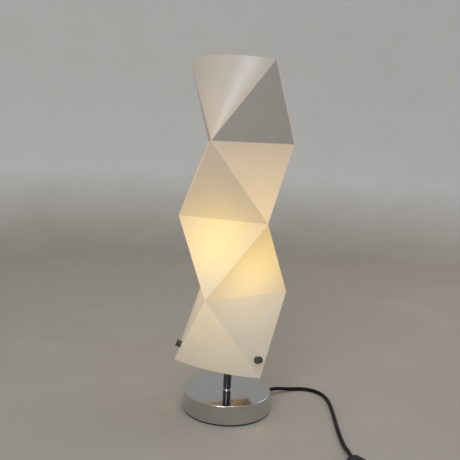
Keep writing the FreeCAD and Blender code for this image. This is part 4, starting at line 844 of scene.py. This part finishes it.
cut_away(upper_shell, skin_object("cutter", box_skin((*(SWITCH - SLOT_HALF), SWITCH_SEAM + SLOT_FLOOR),
                                                     (*(SWITCH + SLOT_HALF), SWITCH_TOP + 0.001)), False))
moulded_edge(lower_shell, 50)
moulded_edge(upper_shell, 50)
print("upper shell has", len(upper_shell.data.polygons), "faces")

# %% [markdown]
# The rocker is hollow on top, so that a thumb finds either end. A cut could hollow a
# box, but one closed side view, with the hollow as a parabola, keeps its edges even.
# It is carried across the width and tipped about the pivot to where the rocker rests.

# %% Rocker
ROCKER_HALF, ROCKER_WIDE, ROCKER_FOOT, ROCKER_EDGE = 0.0105, 0.0050, 0.0063, 0.0006
HOLLOW_LEVEL, HOLLOW, FLANK_LEVEL, FOOT_LEVEL = 0.0038, 0.0017, 0.0010, -0.0025
TILT = math.radians(8)
PIVOT = np.array([*SWITCH, SWITCH_TOP - 0.0036])


def rocker_surface():
    """Side view as (along, height): a parabola over the top, straight flanks below.
    Its copies across the width shrink by a quarter circle at both sides."""
    along = np.linspace(-ROCKER_HALF, ROCKER_HALF, 25)
    top = np.column_stack([along, HOLLOW_LEVEL + HOLLOW * (along / ROCKER_HALF) ** 2])
    side = np.concatenate([top, [(ROCKER_HALF, FLANK_LEVEL), (ROCKER_FOOT, FOOT_LEVEL),
                                 (-ROCKER_FOOT, FOOT_LEVEL), (-ROCKER_HALF, FLANK_LEVEL)]])
    across, inset = rounded_ends(-ROCKER_WIDE, ROCKER_WIDE, ROCKER_EDGE, ROCKER_EDGE, 5)
    middle = side.mean(axis=0)
    rings = middle + (side - middle) * (1 - inset[:, None, None] / ROCKER_HALF)
    points = np.concatenate([np.broadcast_to(across[:, None, None], rings.shape[:2] + (1,)), rings], axis=2)
    points, faces = with_poles(points, (across[0], *middle), (across[-1], *middle))
    turn = np.array([[1, 0, 0], [0, math.cos(TILT), -math.sin(TILT)], [0, math.sin(TILT), math.cos(TILT)]])
    return points @ turn.T + PIVOT, faces


rocker = new_piece("rocker_moulded", "switch_rocker", "switch_black", rocker_surface(), "rocker",
                   even=False)
moulded_edge(rocker, 40)

# %% [markdown]
# A flat band ties the coil. A bevelled curve could follow it, but its ends would need
# joining. So it is a closed loop of constant thickness: a rounded rectangle in the
# plane across the turns, carried along its width with thin rounded edges.

# %% Tie of the coil
TIE_LOW, TIE_HIGH = (np.array(corner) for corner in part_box("coil_tie"))


def tie_loop(inset, corner=0.0032):
    """The box's rectangle across the turns, drawn in by the inset, with soft corners."""
    (x0, z0), (x1, z1) = TIE_LOW[[0, 2]] + inset, TIE_HIGH[[0, 2]] - inset
    return soft_corners([(x, z, corner - inset) for x, z in ((x0, z0), (x1, z0), (x1, z1), (x0, z1))], 9)


def tie_surface(thick=0.0008):
    """Loops of one section, carried round: along the band outside, back inside, with an
    inset for each loop, and a quarter of the thickness taken off at all four edges."""
    soft, front, back = thick / 4, TIE_LOW[1], TIE_HIGH[1]
    section = [(0, front + soft), (0, back - soft), (soft, back), (thick - soft, back),
               (thick, back - soft), (thick, front + soft), (thick - soft, front), (soft, front)]
    loops = np.stack([np.insert(tie_loop(inset), 1, y, axis=1) for inset, y in section])
    return loops.reshape(-1, 3), grid_faces(*loops.shape[:2], close_rows=True)


tie = new_piece("coil_band", "coil_tie", "tie_black", tie_surface())
print("band round the coil", TIE_LOW.round(4), TIE_HIGH.round(4))

# %% [markdown]
# A finish is a small node tree. Colour, roughness and bump come from noise on Object
# coordinates, at the scale of the real surface. Short helpers add a node, fill its
# sockets and drive the shader, so that each finish reads like a list of what it does.

# %% Finish helpers
finishes = {}


def surface(name, slot, **fixed):
    """Node tree with one Principled shader, whose plain numbers are set on its sockets."""
    finishes[slot] = bpy.data.materials.new(name)
    finishes[slot].use_nodes = True
    tree = finishes[slot].node_tree
    for key, value in fixed.items():
        tree.nodes["Principled BSDF"].inputs[key.replace("_", " ")].default_value = value
    return tree


def add(tree, kind, inputs=(), **settings):
    """New node of a kind with its settings. Inputs is a dict of socket name or number
    to a value or to another node's output."""
    node = tree.nodes.new("ShaderNode" + kind)
    for key, value in settings.items():
        setattr(node, key, value)
    for key, value in dict(inputs).items():
        if isinstance(value, bpy.types.NodeSocket):
            tree.links.new(value, node.inputs[key])
        else:
            node.inputs[key].default_value = value
    return node


def noise(tree, scale, detail=3.0, stretch=(1, 1, 1)):
    """Noise on Object coordinates, in cells per metre, drawn out by the stretch."""
    place = add(tree, "TexCoord").outputs["Object"]
    place = add(tree, "Mapping", {0: place, 3: stretch}).outputs[0]
    return add(tree, "TexNoise", {"Vector": place, "Scale": scale, "Detail": detail}).outputs[0]


def ramp(tree, value, *stops):
    """Colour ramp through stops of (place, colour), in their order."""
    node = add(tree, "ValToRGB", {0: value})
    elements = node.color_ramp.elements
    for element, (place, colour) in zip(elements, (stops[0], stops[-1])):
        element.position, element.color = place, (*colour, 1)
    for place, colour in stops[1:-1]:
        elements.new(place).color = (*colour, 1)
    return node.outputs["Color"]


def between(tree, value, low, high):
    """Map a value in 0..1 to low..high."""
    return add(tree, "MapRange", {0: value, 3: low, 4: high}).outputs[0]


def drive(tree, socket, value):
    """Link an output to a socket of the shader."""
    tree.links.new(value, tree.nodes["Principled BSDF"].inputs[socket])


def colour_from(tree, value, dark, light, low=0.3, high=0.7):
    """Base colour that runs from dark to light as the value rises from low to high."""
    drive(tree, "Base Color", ramp(tree, value, (low, dark), (high, light)))


def rough_from(tree, value, low, high):
    """Roughness from low to high as the value rises from 0 to 1."""
    drive(tree, "Roughness", between(tree, value, low, high))


def relief_from(tree, height, depth, strength=1.0):
    """Bump of the given depth in metres."""
    bump = add(tree, "Bump", {"Height": height, "Distance": depth, "Strength": strength})
    drive(tree, "Normal", bump.outputs[0])


# %% [markdown]
# Chrome plate is a mirror with faint smears: the roughness varies a little at the
# scale of a fingertip, and a very slight waviness of the pressed metal bends the
# reflections. One even roughness would look like a drawing of metal. The shade's nuts
# and washers are chrome too, given a nearly black base colour: a painted dark
# reflection of the dim room they face. The bright zinc on the hidden threads and nuts
# is duller and mottled.

# %% Chrome, dark chrome and zinc
tree = surface("chrome plate", "chrome", Metallic=1.0, Base_Color=(0.585, 0.595, 0.595, 1))
rough_from(tree, noise(tree, 45, 4, (1, 1, 2.2)), 0.02, 0.16)
relief_from(tree, noise(tree, 26, 2), 0.00025, 0.35)

# Chrome with a nearly black base colour, a painted dark reflection of the dim room; the smear noise varies
# it at random.
tree = surface("chrome painted with dark reflection", "dark_chrome", Metallic=1.0)
smear = noise(tree, 300, 4)
colour_from(tree, smear, (0.13, 0.117, 0.10), (0.18, 0.163, 0.14))
rough_from(tree, smear, 0.06, 0.20)

tree = surface("bright zinc", "zinc_steel", Metallic=1.0)
mottle = noise(tree, 380, 5)
colour_from(tree, mottle, (0.36, 0.35, 0.33), (0.62, 0.61, 0.58))
rough_from(tree, mottle, 0.18, 0.42)
relief_from(tree, noise(tree, 900, 3), 0.00005, 0.5)

# %% [markdown]
# The stem's sleeve is enamelled a glossy black. A smooth base alone would give one
# blurred highlight. The clear coat on top adds the thin one that runs up its length.

# %% Black enamel
tree = surface("black enamel", "dark_sleeve", Coat_Weight=0.8, Coat_Roughness=0.06)
drift = noise(tree, 160, 4, (1, 1, 0.3))
colour_from(tree, drift, (0.008, 0.008, 0.008), (0.02, 0.019, 0.018))
rough_from(tree, drift, 0.14, 0.30)

# %% [markdown]
# The ballast is raw cast iron, grainy and dull. The pad is a dense foam with fine pits.
# Noise could do for both, but pores are round, and cells of a Voronoi pattern are too.

# %% Ballast and pad
tree = surface("raw casting", "cast_ballast", Metallic=0.6, Roughness=0.75)
grain = noise(tree, 500, 6)
colour_from(tree, grain, (0.03, 0.03, 0.03), (0.12, 0.11, 0.10), high=0.75)
relief_from(tree, grain, 0.0004)

tree = surface("foam pad", "dark_pad", Roughness=0.85)
place = add(tree, "TexCoord").outputs["Object"]
pores = add(tree, "TexVoronoi", {"Vector": place, "Scale": 1400}).outputs[0]
colour_from(tree, pores, (0.006, 0.006, 0.006), (0.03, 0.03, 0.03), 0.0, 0.6)
relief_from(tree, pores, 0.00015)

# %% [markdown]
# The sheet is a satin, translucent film, and the bulb behind it is lit. Light that
# passes the film could be traced, but the film scatters it so evenly that a rule does
# as well without grain in the picture: how much a place glows is the bulb's light that
# falls on its back. A film evens out the slant, so the light goes with the root of its
# cosine and dies away with distance. A second share bounces about inside the shade. The
# glow is whiter low down, where the white holder sends it out, and most yellow halfway.

# %% Satin film with the bulb's glow
GLOW_CENTRE = (0.0, 0.0, 0.230)
DIRECT, BOUNCE, BOUNCE_REACH, LOST = 0.0300, 0.43, 0.150, 0.045
TINT_LOW, TINT_HIGH = 0.08, 0.48


def vector_math(tree, operation, *values):
    """Output of a vector operation on values or sockets; a dot product or a length
    comes out of the second socket."""
    node = add(tree, "VectorMath", dict(enumerate(values)), operation=operation)
    return node.outputs["Value" if operation in ("DOT_PRODUCT", "LENGTH") else "Vector"]


def scalar(tree, operation, *values):
    """Output of a scalar operation on values or sockets."""
    return add(tree, "Math", dict(enumerate(values)), operation=operation).outputs[0]


def height_share(tree, low, high):
    """Zero at the low height, one at the high one."""
    height = add(tree, "SeparateXYZ", {0: add(tree, "TexCoord").outputs["Object"]}).outputs["Z"]
    return add(tree, "MapRange", {0: height, 1: low, 2: high}).outputs[0]


tree = surface("satin film", "shade_sheet", Roughness=0.38, Coat_Weight=0.12, Coat_Roughness=0.22)
coordinate = add(tree, "TexCoord")
from_bulb = vector_math(tree, "SUBTRACT", coordinate.outputs["Object"], GLOW_CENTRE)
distance = vector_math(tree, "LENGTH", from_bulb)
way = vector_math(tree, "NORMALIZE", from_bulb)
slant = scalar(tree, "MAXIMUM", vector_math(tree, "DOT_PRODUCT", coordinate.outputs["Normal"], way), 0.0)
direct = scalar(tree, "DIVIDE", scalar(tree, "SQRT", slant), distance)
direct = scalar(tree, "MULTIPLY", direct, DIRECT)
facing_out = scalar(tree, "GREATER_THAN", slant, 0.0)
away = scalar(tree, "DIVIDE", distance, -BOUNCE_REACH)
bounced = scalar(tree, "MULTIPLY", scalar(tree, "EXPONENT", away), BOUNCE)
bounced = scalar(tree, "MULTIPLY", scalar(tree, "SUBTRACT", bounced, LOST), facing_out)
fibre = between(tree, noise(tree, 60, 5), 0.97, 1.03)
drive(tree, "Emission Strength", scalar(tree, "MULTIPLY", scalar(tree, "ADD", direct, bounced), fibre))
drive(tree, "Emission Color", ramp(
    tree, height_share(tree, TINT_LOW, TINT_HIGH), (0.05, (1.0, 0.76, 0.42)), (0.20, (1.0, 0.73, 0.37)),
    (0.34, (1.0, 0.68, 0.19)), (0.45, (1.0, 0.625, 0.10)), (0.68, (1.0, 0.59, 0.16)),
    (0.95, (1.0, 0.58, 0.24))))
colour_from(tree, noise(tree, 22, 4), (0.57, 0.53, 0.495), (0.61, 0.57, 0.53), 0.35, 0.65)
relief_from(tree, noise(tree, 14, 2), 0.0012, 0.25)

# %% [markdown]
# The holder is glossy moulded plastic and its insert unglazed ceramic. Plain white
# would make them look alike, so each has noise and a bump at a scale of its own.
# Contacts and thread shell are rolled brass with a slight tarnish.

# %% Holder, insert and brass
tree = surface("white moulding", "white_holder", Roughness=0.32, Coat_Weight=0.2)
colour_from(tree, noise(tree, 120, 4), (0.66, 0.64, 0.60), (0.74, 0.72, 0.68))
relief_from(tree, noise(tree, 1500, 2), 0.00003, 0.4)

tree = surface("unglazed ceramic", "ceramic_insert", Roughness=0.7)
colour_from(tree, noise(tree, 700, 5), (0.62, 0.60, 0.56), (0.76, 0.75, 0.72))
relief_from(tree, noise(tree, 1800, 3), 0.00006)

tree = surface("rolled brass", "brass", Metallic=1.0)
tarnish = noise(tree, 260, 5)
colour_from(tree, tarnish, (0.52, 0.36, 0.14), (0.78, 0.59, 0.28))
rough_from(tree, tarnish, 0.42, 0.2)

# %% [markdown]
# The bulb's frosted glass glows evenly, and more yellow at its rim, where the sight
# line passes more of the frosting. Light could be traced through the glass, but an
# emission looks the same without grain. The cap is rolled aluminium.

# %% Bulb finishes
tree = surface("frosted glass", "bulb_glass", Roughness=0.25, Base_Color=(0.85, 0.78, 0.62, 1),
               Emission_Strength=9.0)
edge_on = add(tree, "LayerWeight", {"Blend": 0.35}).outputs["Facing"]
drive(tree, "Emission Color", ramp(tree, edge_on, (0.0, (1.0, 0.80, 0.48)), (1.0, (1.0, 0.62, 0.28))))
relief_from(tree, noise(tree, 1200, 3), 0.00004, 0.4)

tree = surface("rolled aluminium", "bulb_metal", Metallic=1.0)
rubbed = noise(tree, 320, 4, (1, 1, 3))
colour_from(tree, rubbed, (0.55, 0.55, 0.55), (0.78, 0.78, 0.77))
rough_from(tree, rubbed, 0.2, 0.4)

tree = surface("dark glass foot", "bulb_dark", Roughness=0.2)
colour_from(tree, noise(tree, 300, 3), (0.01, 0.01, 0.012), (0.03, 0.03, 0.035))

# %% [markdown]
# The cord's sheath, plug and reliefs are soft black plastic with a faint bloom. The
# switch is harder, with the fine spark grain that moulds give such housings, and the
# tie is a woven band. One flat black would hide where one ends and the next begins, so
# they differ in roughness and bump.

# %% Black plastics and the woven tie
tree = surface("soft sheath", "cord_black", Specular_IOR_Level=0.22)
bloom = noise(tree, 210, 4)
colour_from(tree, bloom, (0.003, 0.003, 0.003), (0.009, 0.009, 0.010), 0.35, 0.75)
rough_from(tree, bloom, 0.34, 0.55)
relief_from(tree, noise(tree, 1700, 3), 0.00004, 0.6)

tree = surface("spark grain", "switch_black", Specular_IOR_Level=0.3)
spark = noise(tree, 2600, 3)
colour_from(tree, spark, (0.005, 0.005, 0.006), (0.014, 0.014, 0.015))
rough_from(tree, spark, 0.35, 0.55)
relief_from(tree, spark, 0.00008, 0.7)

tree = surface("woven band", "tie_black", Roughness=0.8, Sheen_Weight=0.4)
place = add(tree, "TexCoord").outputs["Object"]
ribs = add(tree, "TexWave", {"Vector": place, "Scale": 500.0, "Distortion": 0.4}, bands_direction="Y")
ribs = ribs.outputs[1]
colour_from(tree, ribs, (0.004, 0.004, 0.004), (0.03, 0.03, 0.03), 0.2, 0.8)
relief_from(tree, ribs, 0.0002)

# %% [markdown]
# Each piece takes the finish of its material slot: new pieces carry the slot's name,
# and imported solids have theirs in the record. Each could be dressed by hand, but a
# loop over the scene misses none.

# %% Finishes on every piece
slot_of = {part["node"]: part["material_slot"] for part in frame["record"]["subparts"]}
dressed = 0
for piece in bpy.context.scene.objects:
    slot = piece.get("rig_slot") or slot_of.get(piece.get("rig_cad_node"))
    if slot is None or piece.type not in ("MESH", "CURVE"):
        continue
    if len(piece.material_slots) == 0:
        piece.data.materials.append(finishes[slot])
    for holder in piece.material_slots:
        holder.material = finishes[slot]
    dressed += 1
print(dressed, "pieces dressed in", len(finishes), "finishes")

# %% [markdown]
# The pins' dark sleeves could be pieces of their own, but a second material on the same
# turned piece leaves no gap. Its faces are told apart by how far along the pin they
# lie.

# %% Sleeves of the plug's pins
pins.data.materials.append(finishes["cord_black"])
middles = np.empty(len(pins.data.polygons) * 3)
pins.data.polygons.foreach_get("center", middles)
sleeved = middles.reshape(-1, 3)[:, 0] > PLUG_REAR - PLUG_LENGTH - SLEEVE_LENGTH - 0.0001
pins.data.polygons.foreach_set("material_index", sleeved.astype(np.int32))
print("sleeved faces", int(sleeved.sum()))

# %% [markdown]
# The stage is a pale floor that sweeps up into a round wall, so that no horizon shows
# and the chrome has something calm to mirror. The wall sinks to nothing in front, where
# the dimmer room lets small mirrors such as the nuts' ends go dark. One wide soft
# light stands at the upper left, one hangs above and a weaker one stands at the right.
# The bulb itself lights the inside of the shade and the drum.

# %% Stage and lights
FLAT, BEND, WALL_HEIGHT = 1.25, 0.75, 2.6


def sweep_skin(steps=96):
    """Flat floor, then a quarter circle, then an upright wall, carried round the Z axis.
    All heights shrink to nothing where the sine of the angle falls towards -1."""
    t = np.linspace(0, math.pi / 2, 24)
    cove = np.column_stack([FLAT + BEND * np.sin(t), BEND * (1 - np.cos(t))])
    profile = np.concatenate([[(0.0, 0.0), (FLAT / 2, 0.0)], cove, [(FLAT + BEND, WALL_HEIGHT)]])
    angle = full_turn(steps)
    open_front = smooth_step(np.sin(angle), -0.7, 0.1)
    points = around(profile[:, :1], profile[:, 1:] * open_front, angle)
    return points.reshape(-1, 3), grid_faces(len(profile), steps)


sweep = skin_object("sweep", sweep_skin())
tree = surface("pale floor", "stage", Roughness=0.8, Specular_IOR_Level=0.2)
mottled = scalar(tree, "ADD", height_share(tree, 0.0, 0.25), between(tree, noise(tree, 7, 5), -0.15, 0.15))
colour_from(tree, mottled, (0.46, 0.42, 0.37), (0.83, 0.82, 0.80), 0.0, 1.0)
sweep.data.materials.append(finishes["stage"])


def soft_light(name, place, aim, size, power, colour):
    """Square area light that looks from its place to the aim."""
    lamp = bpy.data.lights.new(name, "AREA")
    lamp.size, lamp.energy, lamp.color = size, power, colour
    add_object(name, lamp).matrix_world = Matrix(frame_along(place, np.subtract(place, aim)).tolist())


soft_light("window", (-0.50, -1.45, 0.98), (0, 0, 0.35), 0.6, 8.8, (0.80, 0.92, 1.0))
soft_light("ceiling", (0.1, -0.1, 2.3), (0, 0, 0.2), 1.6, 10.0, (0.96, 0.97, 1.0))
soft_light("far side", (1.2, 0.6, 0.9), (0, 0, 0.3), 0.8, 2.5, (1.0, 0.95, 0.9))
bulb_light = bpy.data.lights.new("bulb light", "POINT")
bulb_light.energy, bulb_light.color, bulb_light.shadow_soft_size = 1.6, (1.0, 0.72, 0.40), GLOBE
add_object("bulb light", bulb_light).location = BULB_CENTRE

world = bpy.data.worlds.new("room")
world.use_nodes = True
background = world.node_tree.nodes["Background"]
background.inputs["Color"].default_value = (0.85, 0.84, 0.83, 1)
background.inputs["Strength"].default_value = 0.36
bpy.context.scene.world = world
bpy.context.scene.view_settings.view_transform = "Standard"
